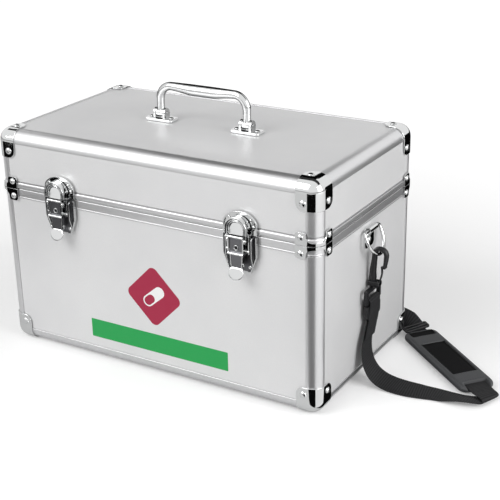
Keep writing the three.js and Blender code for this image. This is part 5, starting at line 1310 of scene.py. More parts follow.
# %% Latch base
LEVER_HALF = 9.0
LEVER_OUT, LEVER_DROP = 10.0, 4.0  # the pivot's place: out of the face and below the seam
PIN_RADIUS = 1.3
LUG_THICKNESS, LUG_HALF = 1.3, 3.0
RAIL_IN, RAIL_OUT = 14.4, 15.3
BASE_OUTLINE = [(-19.5, -0.6), (-19.5, -22), (-13, -39), (13, -39), (19.5, -22), (19.5, -0.6)]
BASE_INSIDE_LEFT = [(-18.5, 5), (-18.5, -21.8), (-12.3, -37.9), (-9, -37.9), (-9, -45)]
BASE_INSIDE = BASE_INSIDE_LEFT + [(-x, y) for x, y in reversed(BASE_INSIDE_LEFT)]
BASE_TURN_UP = 2.6
RAIL_SIDE_VIEW = [(-1.2, 0), (-1.2, 3.2), (-3.2, 5.2), (-22, 5.2), (-33, 1.4), (-33, 0)]
BASE_RIVETS = (10.6, -34.2)


def ordered(a, b):
    """Two places with the lower one first."""
    return (a, b) if a < b else (b, a)


def latch_base():
    """The bright parts of the base: its turned-up wall, inner rails, lugs, pin and rivets."""
    wall = carved(
        prism(BASE_OUTLINE, STAND_OFF, plate_front + BASE_TURN_UP),
        ("cut", prism(BASE_INSIDE, STAND_OFF - 1, plate_front + 9)),
    )
    lug_in = LEVER_HALF + FIT
    side_view = [(y, plate_front + z if z else STAND_OFF) for y, z in reversed(RAIL_SIDE_VIEW)]
    lugs, rails = [], []
    for s in (-1, 1):
        a, b = ordered(s * lug_in, s * (lug_in + LUG_THICKNESS))
        lug_eye = bar(LUG_HALF, (a, -LEVER_DROP, LEVER_OUT), (b, -LEVER_DROP, LEVER_OUT))
        lug = block((a, -LEVER_DROP - LUG_HALF, STAND_OFF), (b, -LEVER_DROP + LUG_HALF, LEVER_OUT))
        lugs.append(carved(lug, ("add", lug_eye)))
        a, b = ordered(s * RAIL_IN, s * RAIL_OUT)
        rails.append(moved(prism(side_view, a, b), TO_SIDE))
    reach = lug_in + LUG_THICKNESS + 0.5
    pin = bar(PIN_RADIUS, (-reach, -LEVER_DROP, LEVER_OUT), (reach, -LEVER_DROP, LEVER_OUT))
    x, y = BASE_RIVETS
    heads = [rivet(s * x, y, plate_front, 2.2, 1.2) for s in (-1, 1)]
    return joined(wall, *lugs, *rails, pin, *heads)


def base_field():
    """The plate inside the turned-up wall, a little narrower so that no two faces lie in one."""
    inside = [(x * 0.985, y) for x, y in BASE_OUTLINE]
    return prism(inside, STAND_OFF + 0.1, plate_front)


print("base plate", BASE_OUTLINE[-1][0] * 2, "mm wide at the top and", BASE_OUTLINE[3][0] * 2, "at its foot")

# %% [markdown]
# The lever is a pressed channel with a rolled ridge at each end and a sunk field between them. A neck
# with narrow flanges runs down to a round tab, which is tipped out so that a thumb gets behind it. It is
# all drawn from the pivot, so that it turns where the real one does.

# %% Lever
LEVER_FACE = 13.0
LEVER_LOW, LEVER_TOP, LEVER_DEPTH = -15.1, 5.5, 7.5
LEVER_WALL, LEVER_ROLL = 1.2, 2.6
PANEL_RECESS = 1.6
RIDGE = 1.3
HASP_DROP, HASP_IN = 11.0, 2.0  # the hasp's pivot: below the lever's and behind it
LOCK_DROP, LOCK_HOLE = 7.6, 3.3
TAB_TILT = 20.0
TAB_SHARES = ((1.0, -0.9), (1.0, 0.0), (0.96, 0.3), (0.85, 0.48), (0.5, 0.6))  # of its outline, at heights
lever_face = LEVER_FACE - LEVER_OUT
lever_panel = lever_face - PANEL_RECESS
at_lock = Matrix.Translation((0, -LOCK_DROP, 0))


def latch_lever():
    """The lever's pressed channel, its two ridges and the neck's flanges."""
    back = lever_face - LEVER_DEPTH
    inner = LEVER_HALF - LEVER_WALL
    field_low, field_top = LEVER_LOW + LEVER_ROLL, LEVER_TOP - LEVER_ROLL
    hole = PIN_RADIUS + FIT
    room = (inner, LEVER_TOP + OVER, lever_panel - LEVER_WALL)
    channel = carved(
        block((-LEVER_HALF, LEVER_LOW, back), (LEVER_HALF, LEVER_TOP, lever_face)),
        ("cut", block((-inner, LEVER_LOW - OVER, back - OVER), room)),
        ("cut", block((-inner, field_low, lever_panel), (inner, field_top, lever_face + OVER))),
        ("cut", bar(hole, (-BIG, 0, 0), (BIG, 0, 0))),
        ("cut", bar(hole, (-BIG, -HASP_DROP, -HASP_IN), (BIG, -HASP_DROP, -HASP_IN))),
        ("cut", moved(turned([(LOCK_HOLE, back), (LOCK_HOLE, lever_face + OVER)]), at_lock)),
    )
    seat = lever_face - 0.1
    ends = (LEVER_LOW + RIDGE, LEVER_TOP - RIDGE)
    ridges = [bar(RIDGE, (-LEVER_HALF, y, seat), (LEVER_HALF, y, seat)) for y in ends]
    flanges = []
    for s in (-1, 1):
        flange = [(s * 7.6, ends[0]), (s * 6.2, -31), (s * 5.2, -31), (s * 6.6, ends[0])]
        flanges.append(prism(flange if s < 0 else flange[::-1], lever_panel - 4.2, lever_panel + 0.5))
    return joined(channel, *ridges, *flanges)


def lever_neck():
    """The brushed sheet between the neck's flanges."""
    top = LEVER_LOW + RIDGE
    outline = [(-7.0, top), (-5.7, -31.2), (5.7, -31.2), (7.0, top)]
    return prism(outline, lever_panel - LEVER_WALL, lever_panel)


def thumb_tab():
    """The bright rounded shell at the lever's foot."""
    outline = [(-6.4, 2.6), *arc(0, -3.2, 8.5, 7.4, 165, 375), (6.4, 2.6)]
    rings = []
    for share, height in TAB_SHARES:
        rings.append([(x * share, y * share - 2 * (1 - share), height) for x, y in outline])
    tip = Matrix.Rotation(math.radians(-TAB_TILT), 4, "X")
    return moved(skin(rings), Matrix.Translation((0, -31.4, lever_panel + 0.6)) @ tip)


print("lever from", LEVER_LOW, "to", LEVER_TOP, "mm about its pivot, its tab tipped by", TAB_TILT, "degrees")

# %% [markdown]
# The key barrel sits in a sunk, brushed plate, whose dark colour is painted shade. It is a turned collar
# with a sunk face, a keyhole cut through that, and a black disc behind it in place of the tumblers, which
# nothing shows: painted shade for the barrel's shaded inside.

# %% Lock barrel
COLLAR = [(2.9, -4.5), (2.9, 0.3), (2.75, 0.6), (2.4, 0.65), (2.2, 0.4), (2.15, -0.5)]


def key_plate():
    """The sunk plate round the key barrel, a separate brushed skin on the lever's channel."""
    inner = LEVER_HALF - LEVER_WALL - 0.05
    plate = block((-inner, -12.4, lever_panel - 0.1), (inner, 2.8, lever_panel + 0.12))
    return carved(plate, ("cut", moved(turned([(3.15, -9), (3.15, 9)]), at_lock)))


def lock_face():
    """The barrel's sunk face, with its keyhole cut."""
    return carved(
        turned([(2.2, -0.45), (2.2, 0.1)]),
        ("cut", block((-0.6, -2.1, -1.5), (0.6, 1.2, 3))),
        ("cut", turned([(1.2, -1.5), (1.2, 3)])),
    )


def keyhole_shade_disc():
    """The black disc behind the keyhole, painted shade for the barrel's shaded inside."""
    return turned([(2.1, -2.6), (2.1, -0.5)])


print("barrel", 2 * COLLAR[0][0], "mm across")

# %% [markdown]
# The hasp is an arch of strip with two raised beads inside its edge, a sunk tray, and a panel that leans
# back at its top, which is why it mirrors the ceiling where the rest mirrors the room. It is drawn from
# its own pivot in the lever.

# %% Hasp
HASP_HALF, HASP_BAND = 13.0, 1.3
HASP_TOP, HASP_LOW = 20.7, 2.6  # of its face, above the seam
HASP_FOOT = -3.0
HASP_BACK = 4.0
BEADS = ((2.3, 0.7), (4.0, 1.5))  # inset from the arch's edge, and depth below its face
BEAD_WALL, BEAD_DEPTH = 0.9, 1.3
PANEL_TILT = 13.0
pivot_rise = -LEVER_DROP - HASP_DROP
pivot_out = LEVER_OUT - HASP_IN


def latch_hasp():
    """The arched strip, its two beads and its pivot pins."""
    top, face_low = HASP_TOP - pivot_rise, HASP_LOW - pivot_rise
    back, face = HASP_BACK - pivot_out, LEVER_FACE - pivot_out
    inside = arch(HASP_HALF - HASP_BAND, HASP_FOOT - OVER, top - HASP_BAND)
    strip = carved(
        prism(arch(HASP_HALF, HASP_FOOT, top), back, face),
        ("cut", prism(inside, back - OVER, face + OVER)),
        ("cut", block((-BIG, HASP_FOOT - OVER, back + 4.2), (BIG, face_low, face + OVER))),
    )
    beads = []
    for inset, depth in BEADS:
        outer, inner = HASP_HALF - inset, HASP_HALF - inset - BEAD_WALL
        opening = arch(inner, face_low - OVER, top - inset - BEAD_WALL)
        solid = prism(arch(outer, face_low, top - inset), face - depth - BEAD_DEPTH, face - depth)
        beads.append(carved(solid, ("cut", prism(opening, face - 9, face + 9))))
    pin_from, pin_to = LEVER_HALF - LEVER_WALL, HASP_HALF + 0.4
    pins = [bar(PIN_RADIUS, (s * pin_from, 0, 0), (s * pin_to, 0, 0)) for s in (-1, 1)]
    return joined(strip, *beads, *pins)


def hasp_panel(inset, reach, tilt, out, crown=0.0):
    """A pressed panel inside the arch, leaning back at its top."""
    top, face_low = HASP_TOP - pivot_rise, HASP_LOW - 0.2 - pivot_rise
    outline = [(x, y - face_low) for x, y in arch(HASP_HALF - inset, face_low, top - inset)]
    lean = Matrix.Rotation(math.radians(-tilt), 4, "X")
    place = Matrix.Translation((0, face_low, LEVER_FACE - pivot_out - out))
    return moved(crowned(outline, -reach, 0, crown), place @ lean)


print("hasp", 2 * HASP_HALF, "mm wide, with", len(BEADS), "beads")

# %% [markdown]
# Both latches are the same pieces in two places. Each row below names a piece, its shape and its place,
# what it is made of, the body that it rides on, its slot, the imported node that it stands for, and how
# much its edges are eased.

# %% Both latches
LATCH_X = 114.0

for side, sign in (("left", -1), ("right", 1)):
    on_face = face_matrix("front", Vector((sign * LATCH_X, -HALF_DEPTH, SEAM)))
    at_lever = on_face @ Matrix.Translation((0, -LEVER_DROP, LEVER_OUT))
    at_barrel = at_lever @ Matrix.Translation((0, -LOCK_DROP, lever_panel))
    at_hasp = at_lever @ Matrix.Translation((0, -HASP_DROP, -HASP_IN))
    lever, lock, hasp, latch = f"lever_{side}", f"lock_{side}", f"hasp_{side}", f"latch_{side}"
    tray, panel = hasp_panel(1.2, 0.8, 0, 3.6), hasp_panel(5.0, 1.2, PANEL_TILT, 1.4, 0.5)
    steel, brass = "chrome_steel", "lock_brass"
    cylinder = [f"{latch}_lock_cylinder"]
    rows = [
        (f"strike_{side}", strike(), on_face, chrome, "lid", steel, [f"{latch}_strike"], 0.35),
        (f"strike_{side}_field", strike_field(), on_face, chrome, "lid", steel, [], 0),
        (f"latch_plate_{side}", latch_base(), on_face, chrome, "case", steel, [f"{latch}_base"], 0.3),
        # the nickel pieces below carry painted shade in their dark colour
        (f"latch_plate_{side}_field", base_field(), on_face, nickel_painted_shade, "case", steel, [], 0.1),
        (f"{lever}_channel", latch_lever(), at_lever, chrome, lever, steel, [f"{latch}_lever"], 0.3),
        (f"{lever}_neck", lever_neck(), at_lever, nickel_painted_shade, lever, steel, [], 0.1),
        (f"{lever}_tab", thumb_tab(), at_lever, chrome, lever, steel, [], 0.15),
        (f"{lever}_key_plate", key_plate(), at_lever, nickel_painted_shade, lever, steel, [], 0),
        (f"lock_barrel_{side}", turned(COLLAR), at_barrel, chrome, lock, brass, cylinder, 0.12),
        (f"lock_face_{side}", lock_face(), at_barrel, nickel_painted_shade, lock, brass, [], 0.08),
        # painted shade: a black disc where the keyhole's inside lies in shadow
        (f"lock_keyway_{side}", keyhole_shade_disc(), at_barrel, acetal, lock, "black_plastic", [], 0),
        (f"{hasp}_arch", latch_hasp(), at_hasp, chrome, hasp, steel, [f"{latch}_hasp"], 0.35),
        (f"{hasp}_tray", tray, at_hasp, nickel_painted_shade, hasp, steel, [], 0.1),
        (f"{hasp}_panel", panel, at_hasp, chrome, hasp, steel, [], 0.3),
    ]
    for name, shape, place, material, body, slot, nodes, ease in rows:
        finished(name, moved(shape, place), material, body, nodes, ease)
    print(latch, "in", len(rows), "pieces")

# %% [markdown]
# The handle is a cast bow, thickest where the palm bears. A bent bar would be one thickness all along.
# Its line is drawn instead, and each place on it has a width, a depth and a drop of its middle, because
# the casting swells only on its underside. It folds on pins between the ears of two pressed feet.

# %% Handle
HANDLE_HALF, HANDLE_RISE, HANDLE_CORNER = 55.5, 31.4, 15.0
HANDLE_PIVOT = Vector((0, 0, 262.4))
LEG, CORNER, SHOULDER, BELLY = 4.4, 4.7, 4.8, 6.4  # half the bow's thickness seen from the front
LEG_DEPTH, CORNER_DEPTH, SHOULDER_DEPTH, BELLY_DEPTH = 4.2, 4.4, 4.5, 6.0  # and half of it seen from above
BELLY_RAMP, BELLY_DROP = 0.75, 0.8
TOP_STEPS = 24
EYE_RADIUS, EYE_BORE = 4.8, 2.05


def oval_sweep(stations, normal, sides=28, closed=False):
    """An oval bar through stations of (point, half size in the plane, half size across)."""
    last = len(stations) - 1
    rings = []
    for i, (point, in_plane, across) in enumerate(stations):
        before = stations[(i - 1) % len(stations) if closed else max(i - 1, 0)][0]
        after = stations[(i + 1) % len(stations) if closed else min(i + 1, last)][0]
        side = (after - before).normalized().cross(normal)
        ring = []
        for turn in (2 * math.pi * k / sides for k in range(sides)):
            ring.append(point + normal * (across * math.cos(turn)) + side * (in_plane * math.sin(turn)))
        rings.append(ring)
    return skin(rings, closed)


def handle_bow():
    """The bow from eye to eye, with its pivots on the X axis."""
    middle_x, middle_z = HANDLE_CORNER - HANDLE_HALF, HANDLE_RISE - HANDLE_CORNER
    turn = arc(middle_x, middle_z, HANDLE_CORNER, HANDLE_CORNER, 180, 90, 14)
    left = [(Vector((-HANDLE_HALF, 0, z)), LEG, LEG_DEPTH) for z in (0, 8, 16)]
    left += [(Vector((x, 0, z)), CORNER, CORNER_DEPTH) for x, z in turn[1:]]
    right = [(Vector((-point.x, 0, point.z)), half, depth) for point, half, depth in reversed(left)]
    start = left[-1][0].x
    top = []
    for k in range(1, TOP_STEPS):
        x = start - start * 2 * k / TOP_STEPS
        swell = smooth(1 - abs(x / start), 0, BELLY_RAMP)
        half = SHOULDER + (BELLY - SHOULDER) * swell
        depth = SHOULDER_DEPTH + (BELLY_DEPTH - SHOULDER_DEPTH) * swell
        top.append((Vector((x, 0, HANDLE_RISE - (half - SHOULDER) * BELLY_DROP)), half, depth))
    bow = oval_sweep([*left, *top, *right], Y_AXIS)
    eyes = [bar(EYE_RADIUS, (s * HANDLE_HALF - LEG, 0, 0), (s * HANDLE_HALF + LEG, 0, 0)) for s in (-1, 1)]
    return carved(bow, *(("add", eye) for eye in eyes), ("cut", bar(EYE_BORE, (-BIG, 0, 0), (BIG, 0, 0))))


bow = moved(handle_bow(), Matrix.Translation(HANDLE_PIVOT))
print("bow with", len(bow.faces), "faces,", 2 * (HANDLE_HALF + LEG), "mm wide")
# the bow's chrome darkens toward its sides as a painted reflection
finished("handle_bow", bow, chrome_painted_dark_edges, "handle", ["handle_grip"], 0.4)

# %% [markdown]
# A handle's foot is pressed as one piece. Its plate is flat and its ears are round, and the two need
# other finishes to mirror well at this size: the ears take the chrome whose sides are darkened as a
# painted reflection. So they are two pieces that touch.

# %% Handle feet
FOOT_LOW, FOOT_TOP = -8.7, -5.7  # heights of the plate, from the pivot
FOOT_REACH, FOOT_HALF, FOOT_ROUNDING = 18.0, 8.5, 3.4
EAR_RADIUS, EAR_THICKNESS, EAR_SIDES = 5.4, 2.8, 40
FOOT_PIN_RADIUS, FOOT_PIN_REACH = 1.7, 8.3
FOOT_RIVET_OUT, FOOT_RIVET, FOOT_RIVET_DOME = 12.8, 2.9, 1.5


def handle_foot():
    """A pressed foot's plate, and apart from it the two ears, the pin between them and the rivets."""
    outline = rounded(-FOOT_REACH, -FOOT_HALF, FOOT_REACH, FOOT_HALF, FOOT_ROUNDING)
    ears = []
    for s in (-1, 1):
        a, b = ordered(s * (LEG + FIT), s * (LEG + FIT + EAR_THICKNESS))
        ear = block((a, -EAR_RADIUS, FOOT_LOW), (b, EAR_RADIUS, 0))
        ears.append(carved(ear, ("add", bar(EAR_RADIUS, (a, 0, 0), (b, 0, 0), EAR_SIDES))))
    pin = bar(FOOT_PIN_RADIUS, (-FOOT_PIN_REACH, 0, 0), (FOOT_PIN_REACH, 0, 0))
    heads = [rivet(s * FOOT_RIVET_OUT, 0, FOOT_TOP, FOOT_RIVET, FOOT_RIVET_DOME) for s in (-1, 1)]
    return prism(outline, FOOT_LOW, FOOT_TOP), joined(*ears, pin, *heads)


for side, sign in (("left", -1), ("right", 1)):
    place = Matrix.Translation(HANDLE_PIVOT + Vector((sign * HANDLE_HALF, 0, 0)))
    plate, ears = handle_foot()
    node_name = f"handle_bracket_{side}"
    finished(f"handle_foot_{side}", moved(plate, place), chrome, "lid", [node_name], 0.6)
    # the ears' chrome darkens toward their sides as a painted reflection
    finished(f"handle_ears_{side}", moved(ears, place), chrome_painted_dark_edges, "lid", ease=0.5)
print("feet", 2 * HANDLE_HALF, "mm apart")

# %% [markdown]
# On each end a D of round wire hangs in a pressed plate, whose upper edge is rolled into the ring's
# hinge. A torus bent to a D would thin at its corners, so the wire is one round section swept along the
# D. It is a little tilted, as the clipped strap holds it.

# %% Carrying rings
RING_HEIGHT, RING_WIRE = 170.0, 1.8
RING_HALF, RING_DROP, RING_SHOULDER, RING_TURN = 18.0, 28.4, 8.0, 3.6
RING_TILT = 0.389  # radians
BARREL = RING_WIRE + FIT + 1.5  # outside of the rolled edge
BOARD_INSET = 0.6  # the boards lie this much deeper than the frame's faces
RING_OUT = FIT - BOARD_INSET + BARREL
RING_PLATE = 1.4


def ring_plate():
    """The plate with its rolled edge and one rivet, drawn from the ring's hinge line."""
    back = FIT - BOARD_INSET - RING_OUT
    front = back + RING_PLATE
    plate = carved(
        prism(rounded(-11, -21, 11, BARREL - 0.5, 5), back, front),
        ("add", bar(BARREL, (-9, 0, 0), (9, 0, 0))),
        ("cut", bar(RING_WIRE + FIT, (-BIG, 0, 0), (BIG, 0, 0))),
    )
    return joined(plate, rivet(0, -13, front, 3.4, 1.2))


def carry_ring():
    """The D of wire, hanging from its hinge line."""
    wire = arc(RING_HALF - RING_TURN, -RING_TURN, RING_TURN, RING_TURN, 0, 90, 8)
    wire += arc(RING_TURN - RING_HALF, -RING_TURN, RING_TURN, RING_TURN, 90, 180, 8)
    wire += arc(0, -RING_SHOULDER, RING_HALF, RING_DROP - RING_SHOULDER, 180, 360, 30)
    stations = [(Vector((x, y, 0)), RING_WIRE, RING_WIRE) for x, y in wire]
    return oval_sweep(stations, Z_AXIS, 18, closed=True)


print("rings", 2 * RING_HALF, "mm wide, in barrels of", round(2 * BARREL, 2), "mm")

# %% [markdown]
# The strap's moulded hook clips over the ring. Its shank and crook are one oval bar that thins toward
# the tip, swept along its line, with a collar for the swivel at its foot and a slot for the gate. The
# sprung gate is a thin bowed strip on a round foot.

# %% Strap hooks
# Each row: out from the case's end, height, and half the bar's thickness.
HOOK_SHANK = [
    (STRAP_OUT, 109.0, 4.4),
    (STRAP_OUT, 116.0, 4.2),
    (STRAP_OUT + 0.2, 124.0, 3.7),
    (STRAP_OUT + 1.1, 132.0, 3.2),
]
HOOK_TIP = [(20.5, 137.0, 2.4), (19.9, 132.5, 2.1), (19.1, 128.6, 1.8)]
CROOK_OUT, CROOK_HEIGHT, CROOK_RADIUS, CROOK_STEPS = 14.4, 142.0, 6.6, 20
CROOK_THICK, CROOK_THINS = 2.9, 0.3
HOOK_BREADTH, TIP_BREADTH, NARROW_FROM = 3.5, 3.3, 138.0  # half across, and the height where it narrows
COLLAR_LOW, COLLAR_TOP = 106.0, 112.0
SWIVEL_BORE = 2.0
GATE_HEIGHT, GATE_LEAN, GATE_BOW, GATE_STEPS = 19.6, 3.6, 8.0, 12
GATE_PLACE = Vector((0, 109.4, 12.2))


def hook_shape():
    """The hook's shank, crook and collar, and apart from them the catch at its tip."""
    crook = []
    for i, (x, y) in enumerate(arc(0, 0, CROOK_RADIUS, CROOK_RADIUS, 172, 0, CROOK_STEPS)):
        crook.append((CROOK_OUT + x, CROOK_HEIGHT + y, CROOK_THICK - CROOK_THINS * i / CROOK_STEPS))
    stations = []
    for out, height, half in HOOK_SHANK + crook + HOOK_TIP:
        breadth = HOOK_BREADTH if height < NARROW_FROM else TIP_BREADTH
        stations.append((Vector((0, height, out)), half, breadth))
    collar = soft_block((-5, COLLAR_LOW, STRAP_OUT - 4.6), (5, COLLAR_TOP, STRAP_OUT + 8.8), 1.6, 5)
    slot = block((-2.6, COLLAR_LOW + 0.3, 10.4), (2.6, 130, 30))
    down = Matrix.Translation((0, COLLAR_LOW, STRAP_OUT)) @ axes(X_AXIS, -Z_AXIS, Y_AXIS)
    bore = moved(turned([(SWIVEL_BORE, -9), (SWIVEL_BORE, 4.2)]), down)
    catch = soft_block((-3.2, -1.2, -1.8), (3.2, 1.6, 1.8), 0.8, 4)
    tip_out, tip_height, _ = HOOK_TIP[-1]
    body = carved(oval_sweep(stations, X_AXIS, 24), ("add", collar), ("cut", slot), ("cut", bore))
    return body, moved(catch, Matrix.Translation((0, tip_height, tip_out)))


def hook_gate():
    """The bowed strip and its round foot, drawn from its pivot."""
    stations = []
    for share in (k / GATE_STEPS for k in range(GATE_STEPS + 1)):
        out = GATE_LEAN * share + GATE_BOW * share * (1 - share)
        stations.append((Vector((0, GATE_HEIGHT * share, out)), 0.75, 2.3))
    return joined(oval_sweep(stations, X_AXIS, 16), bar(1.5, (-2.3, 0, 0), (2.3, 0, 0), 20))


print("hook from", COLLAR_LOW, "to", CROOK_HEIGHT + CROOK_RADIUS + CROOK_THICK, "mm high")

# %% [markdown]
# Both ends carry the same five pieces: plate, ring, hook, gate and swivel eye. They are drawn in the
# end's own axes and mirrored by them, so left and right can't differ.

# %% Rings and hooks on both ends
for side, sign in (("left", -1), ("right", 1)):
    on_end = face_matrix(side, Vector((sign * HALF_WIDTH, RING_Y, 0)))
    at_ring = on_end @ Matrix.Translation((0, RING_HEIGHT, RING_OUT))
    tilted = at_ring @ Matrix.Rotation(-RING_TILT, 4, "X")
    at_gate = on_end @ Matrix.Translation(GATE_PLACE)
    ring, hook, gate = f"ring_{side}", f"hook_{side}", f"gate_{side}"
    steel, plastic = "chrome_steel", "black_plastic"
    hook_piece = joined(*hook_shape())
    rows = [
        (f"ring_bracket_{side}", ring_plate(), at_ring, chrome, "case", steel, [f"ring_plate_{side}"], 0.3),
        # the ring's wire carries the painted dark reflection at its sides
        (f"ring_wire_{side}", carry_ring(), tilted, chrome_painted_dark_edges, ring, steel, [f"carry_ring_{side}"], 0),
        (f"{hook}_crook", hook_piece, on_end, acetal, hook, plastic, [f"strap_hook_{side}"], 0.3),
        (f"{hook}_gate", hook_gate(), at_gate, acetal, gate, plastic, [f"hook_gate_{side}"], 0),
    ]
    for name, shape, place, material, body, slot, nodes, ease in rows:
        finished(name, moved(shape, place), material, body, nodes, ease)
    dressed(f"swivel_eye_{side}", acetal, 0.8)
    print(side, "end:", [row[0] for row in rows])

# %% [markdown]
# The lid turns on a piano hinge along the back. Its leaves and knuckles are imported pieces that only
# want a finish. Screws hold the leaves; their heads are low domes with a slot cut across.

# %% Rear hinge
SCREWS, SCREW_REACH, SCREW_RISE = 8, 150.0, 9.8  # on each leaf, to each side, and from the seam
SCREW_RADIUS, SCREW_DOME = 2.6, 0.7
SLOT_HALF, SLOT_FLOOR = 0.35, 0.25

dressed("hinge_lid_leaf", chrome, 0.2)
dressed("hinge_body_leaf", chrome, 0.2)
on_back = face_matrix("back", Vector((0, HALF_DEPTH, SEAM)))
for half, body, rise in (("lid", "lid", SCREW_RISE), ("body", "case", -SCREW_RISE)):
    screws = []
    for k in range(SCREWS):
        x = -SCREW_REACH + 2 * SCREW_REACH * k / (SCREWS - 1)
        head = rivet(x, rise, plate_front - RIVET_REST, SCREW_RADIUS, SCREW_DOME)
        slot_low = (x - 3, rise - SLOT_HALF, plate_front + SLOT_FLOOR)
        screws.append(carved(head, ("cut", block(slot_low, (x + 3, rise + SLOT_HALF, 9)))))
    finished(f"hinge_screws_{half}", moved(joined(*screws), on_back), chrome, body, ease=0.1)
print(2 * SCREWS, "screws in the hinge")

# %% [markdown]
# Inside, the body is lined with foam that forms the ledges of the lift-out tray, and both are packed
# pieces. The lid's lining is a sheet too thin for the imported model: a block inside the lid with a
# slightly smaller one cut out from below.

# %% Lining and tray
LID_LINING, LINING_GAP = 0.8, 0.1
dressed("body_lining", foam, 0.5)
dressed("lift_out_tray", polystyrene, 0.5)

inner_x, inner_y, inner_top = (v - FRAME_WALL - LINING_GAP for v in (HALF_WIDTH, HALF_DEPTH, CASE_TOP))
room_x, room_y, room_top = (v - LID_LINING for v in (inner_x, inner_y, inner_top))
lid_lining = carved(
    prism(rounded(-inner_x, -inner_y, inner_x, inner_y, 4), lid_rim_high + 0.4, inner_top),
    ("cut", prism(rounded(-room_x, -room_y, room_x, room_y, 3.4), lid_rim_high - OVER, room_top)),
)
print("lid lining with", len(lid_lining.faces), "faces")
finished("lid_lining", lid_lining, foam, "lid", ease=0.2)

# %% [markdown]
# The front carries two printed films: a long plain green bar, and above it a crimson mark, which is a
# plain rounded diamond with a white capsule. Films could be painted into the board's material, but real
# ones have an edge and their own gloss, so each is a thin sheet, let a hair into the one below it.

# %% Printed films
FILM, LAP = 0.12, 0.02
BAR_LOW, BAR_HIGH = (-86.0, 27.0), (93.0, 49.0)
MARK_CENTRE, MARK_HALF, MARK_ROUNDING = (1.5, 93.8), 33.0, 7.0
CAPSULE_HALF, CAPSULE_WIDTH = 16.0, 13.0
CAPSULE_BORDER = 1.6
DIAMOND_TURN, CAPSULE_TURN = 45, 40  # degrees
on_board = face_matrix("front", Vector((0, box_mm("body_front_panel")[0].y, 0)))


def film_piece(name, outline, layer, material):
    """A printed sheet on the front board: layer 0 lies on the board, 1 on that, and so on."""
    lift = layer * FILM - (layer + 1) * LAP
    shape = moved(prism(outline, lift, lift + FILM), on_board)
    return finished(name, shape, material, "case", ease=0)


def on_mark(outline, angle):
    """An outline turned by degrees and set on the mark's centre."""
    (x, y), turn = MARK_CENTRE, math.radians(angle)
    c, s = math.cos(turn), math.sin(turn)
    return [(x + u * c - v * s, y + u * s + v * c) for u, v in outline]


film_piece("green_bar", rounded(*BAR_LOW, *BAR_HIGH, 0.8), 0, green_film)

half_side = MARK_HALF * 0.78  # so that the rounded points reach about as far as the mark does
square = rounded(-half_side, -half_side, half_side, half_side, MARK_ROUNDING)
film_piece("crimson_mark", on_mark(square, DIAMOND_TURN), 0, crimson_film)

end, side = CAPSULE_HALF, CAPSULE_WIDTH / 2
capsule = rounded(-end, -side, end, side, side - 0.1)
film_piece("mark_capsule", on_mark(capsule, CAPSULE_TURN), 1, white_film)

end, side = CAPSULE_HALF - CAPSULE_BORDER, side - CAPSULE_BORDER
capsule_half = rounded(-end, -side, 0, side, side - 0.1)
film_piece("mark_capsule_half", on_mark(capsule_half, CAPSULE_TURN), 2, crimson_film)
print("films on the board at", round(box_mm("body_front_panel")[0].y, 2), "mm")

# %% [markdown]
# The studio is a pale floor that runs on to the edge of the view, with white all round. The floor is
# lit a little from within toward the distance, where a lamp's light would fall off, and is greyer in
# reflections, so that metal beside it keeps its edge.

# %% Studio floor
FLOOR_REACH = 12000.0
FLOOR_THICKNESS, FLOOR_DROP = 4.0, 0.05
FLOOR_TONE, MIRRORED_TONE = "#e8e8e8", "#dadada"
GLOW_NEAR, GLOW_FAR = (0.3, 0.22), (1.2, 0.65)  # metres from the case, and strength


def staged(name, outline, low, high, material):
    """A studio piece from an outline between two heights in millimetres, which isn't part of the object."""
    shape = prism(outline, low, high)
    bmesh.ops.scale(shape, vec=(MM,) * 3, verts=shape.verts)
    piece = as_object(shape, name)
    piece.data.materials.append(material)
    return piece


pale = linear(FLOOR_TONE)
floor_material, tree, shader = surface("pale_floor", Base_Color=pale, Roughness=0.9, Specular_IOR_Level=0.1)
seen = node(tree, "LightPath")
glossy = seen.outputs["Is Glossy Ray"]
feed(tree, shader, "Base Color", "MixRGB", {"Fac": glossy, "Color1": pale, "Color2": linear(MIRRORED_TONE)})
here = node(tree, "TexCoord")
away = node(tree, "VectorMath", {0: here.outputs["Object"]}, operation="LENGTH")
ramp = {"From Min": GLOW_NEAR[0], "From Max": GLOW_FAR[0], "To Min": GLOW_NEAR[1], "To Max": GLOW_FAR[1]}
backlight = node(tree, "MapRange", {"Value": away.outputs["Value"], **ramp})
direct = seen.outputs["Is Camera Ray"]
feed(tree, shader, "Emission Strength", "Math", {0: direct, 1: backlight}, operation="MULTIPLY")
shader.inputs["Emission Color"].default_value = linear("#ffffff")
floor_outline = [(x * FLOOR_REACH, y * FLOOR_REACH) for x, y in ((-1, -1), (1, -1), (1, 1), (-1, 1))]
staged("studio_floor", floor_outline, -FLOOR_THICKNESS, -FLOOR_DROP, floor_material)
print("floor to", FLOOR_REACH * MM, "m on each side")

# %% [markdown]
# Polished metal in a white room looks like paper. Black cards stand behind the case and lie on the
# floor in front, left and right of it, where only reflections see them: they draw the dark lines in the
# metal. A pale card on the floor lightens the right end's foot, and a grey one overhead tones what
# faces up.

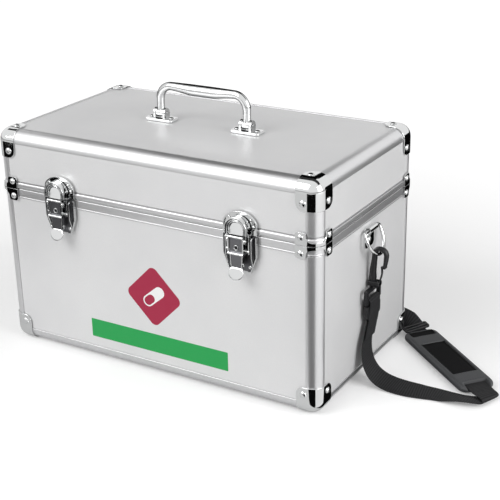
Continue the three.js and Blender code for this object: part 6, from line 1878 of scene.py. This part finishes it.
# %% Cards
FLAT = (0.2, 0.6)  # a card lying on the floor, from and to this height
CARD_TONES = {"black": "#0a0a0a", "white": "#f4f4f4", "grey": "#4a4a4a"}
CARDS = [
    ("card_behind", "black", (950, 3000), [(-1800, 1300), (250, 1300), (250, 1310), (-1800, 1310)]),
    ("card_low_behind", "black", (1, 330), [(-1800, 1300), (1500, 1300), (1500, 1310), (-1800, 1310)]),
    ("card_right", "black", FLAT, [(202, -112), (1100, 1000), (1100, 2000), (202, 2000)]),
    ("card_front", "black", FLAT, [(200, -114), (-180, -1114), (1000, -814)]),
    ("card_left", "black", FLAT, [(-1000, -330), (-1000, -760), (-320, -760), (-320, -330)]),
    ("card_pale", "white", FLAT, [(203, -113), (1003, -813), (2000, -500), (2000, 800), (1101, 999)]),
    ("card_above", "grey", (2600, 2610), [(-2500, 100), (2500, 100), (2500, 1290), (-2500, 1290)]),
]

card_materials = {}
for name, tone in CARD_TONES.items():
    made = surface(f"{name}_card", Base_Color=linear(tone), Roughness=1.0, Specular_IOR_Level=0.0)
    card_materials[name] = made[0]
for name, tone, (low, high), outline in CARDS:
    card = staged(name, outline, low, high, card_materials[tone])
    card.visible_camera = False
    card.visible_diffuse = False
    card.visible_shadow = False
print(len(CARDS), "cards")

# %% [markdown]
# The light is soft. A large lamp stands high at the front left, and another at the right lifts the
# shaded end. The room itself is white to the eye and to mirrors, but sheds less light than it shows,
# so that the lamps still model the case. One even white all round would leave it flat.

# %% Lamps and room
ROOM_SHOWN, ROOM_SHED = 1.0, 0.42
LAMP_AIM = Vector((0, 0, 0.1))
LAMPS = [("key", (-0.9, -1.6, 1.5), 1.4, 27), ("fill", (2.0, -0.2, 0.9), 1.2, 27)]  # place, width, watts

world = bpy.data.worlds.new("studio")
world.use_nodes = True
bpy.context.scene.world = world
sky = world.node_tree
sky.nodes.clear()
seen = node(sky, "LightPath")
direct, glossy, through = (seen.outputs[f"Is {kind} Ray"] for kind in ("Camera", "Glossy", "Transmission"))
either = node(sky, "Math", {0: direct, 1: glossy}, operation="MAXIMUM")
either = node(sky, "Math", {0: either, 1: through}, operation="MAXIMUM")
shed = node(sky, "Background", {"Color": linear("#ffffff"), "Strength": ROOM_SHED})
shown = node(sky, "Background", {"Color": linear("#ffffff"), "Strength": ROOM_SHOWN})
rooms = {1: shed, 2: shown}
mix = node(sky, "MixShader", {0: either, **rooms})
node(sky, "OutputWorld", {"Surface": mix})

for name, place, width, power in LAMPS:
    light = bpy.data.lights.new(name, "AREA")
    light.shape = "SQUARE"
    light.size = width
    light.energy = power
    lamp = bpy.data.objects.new(name, light)
    lamp.location = place
    lamp.rotation_euler = (LAMP_AIM - Vector(place)).to_track_quat("-Z", "Y").to_euler()
    bpy.context.scene.collection.objects.link(lamp)

bpy.context.scene.view_settings.view_transform = "Standard"
print("lamps:", [name for name, *_ in LAMPS])
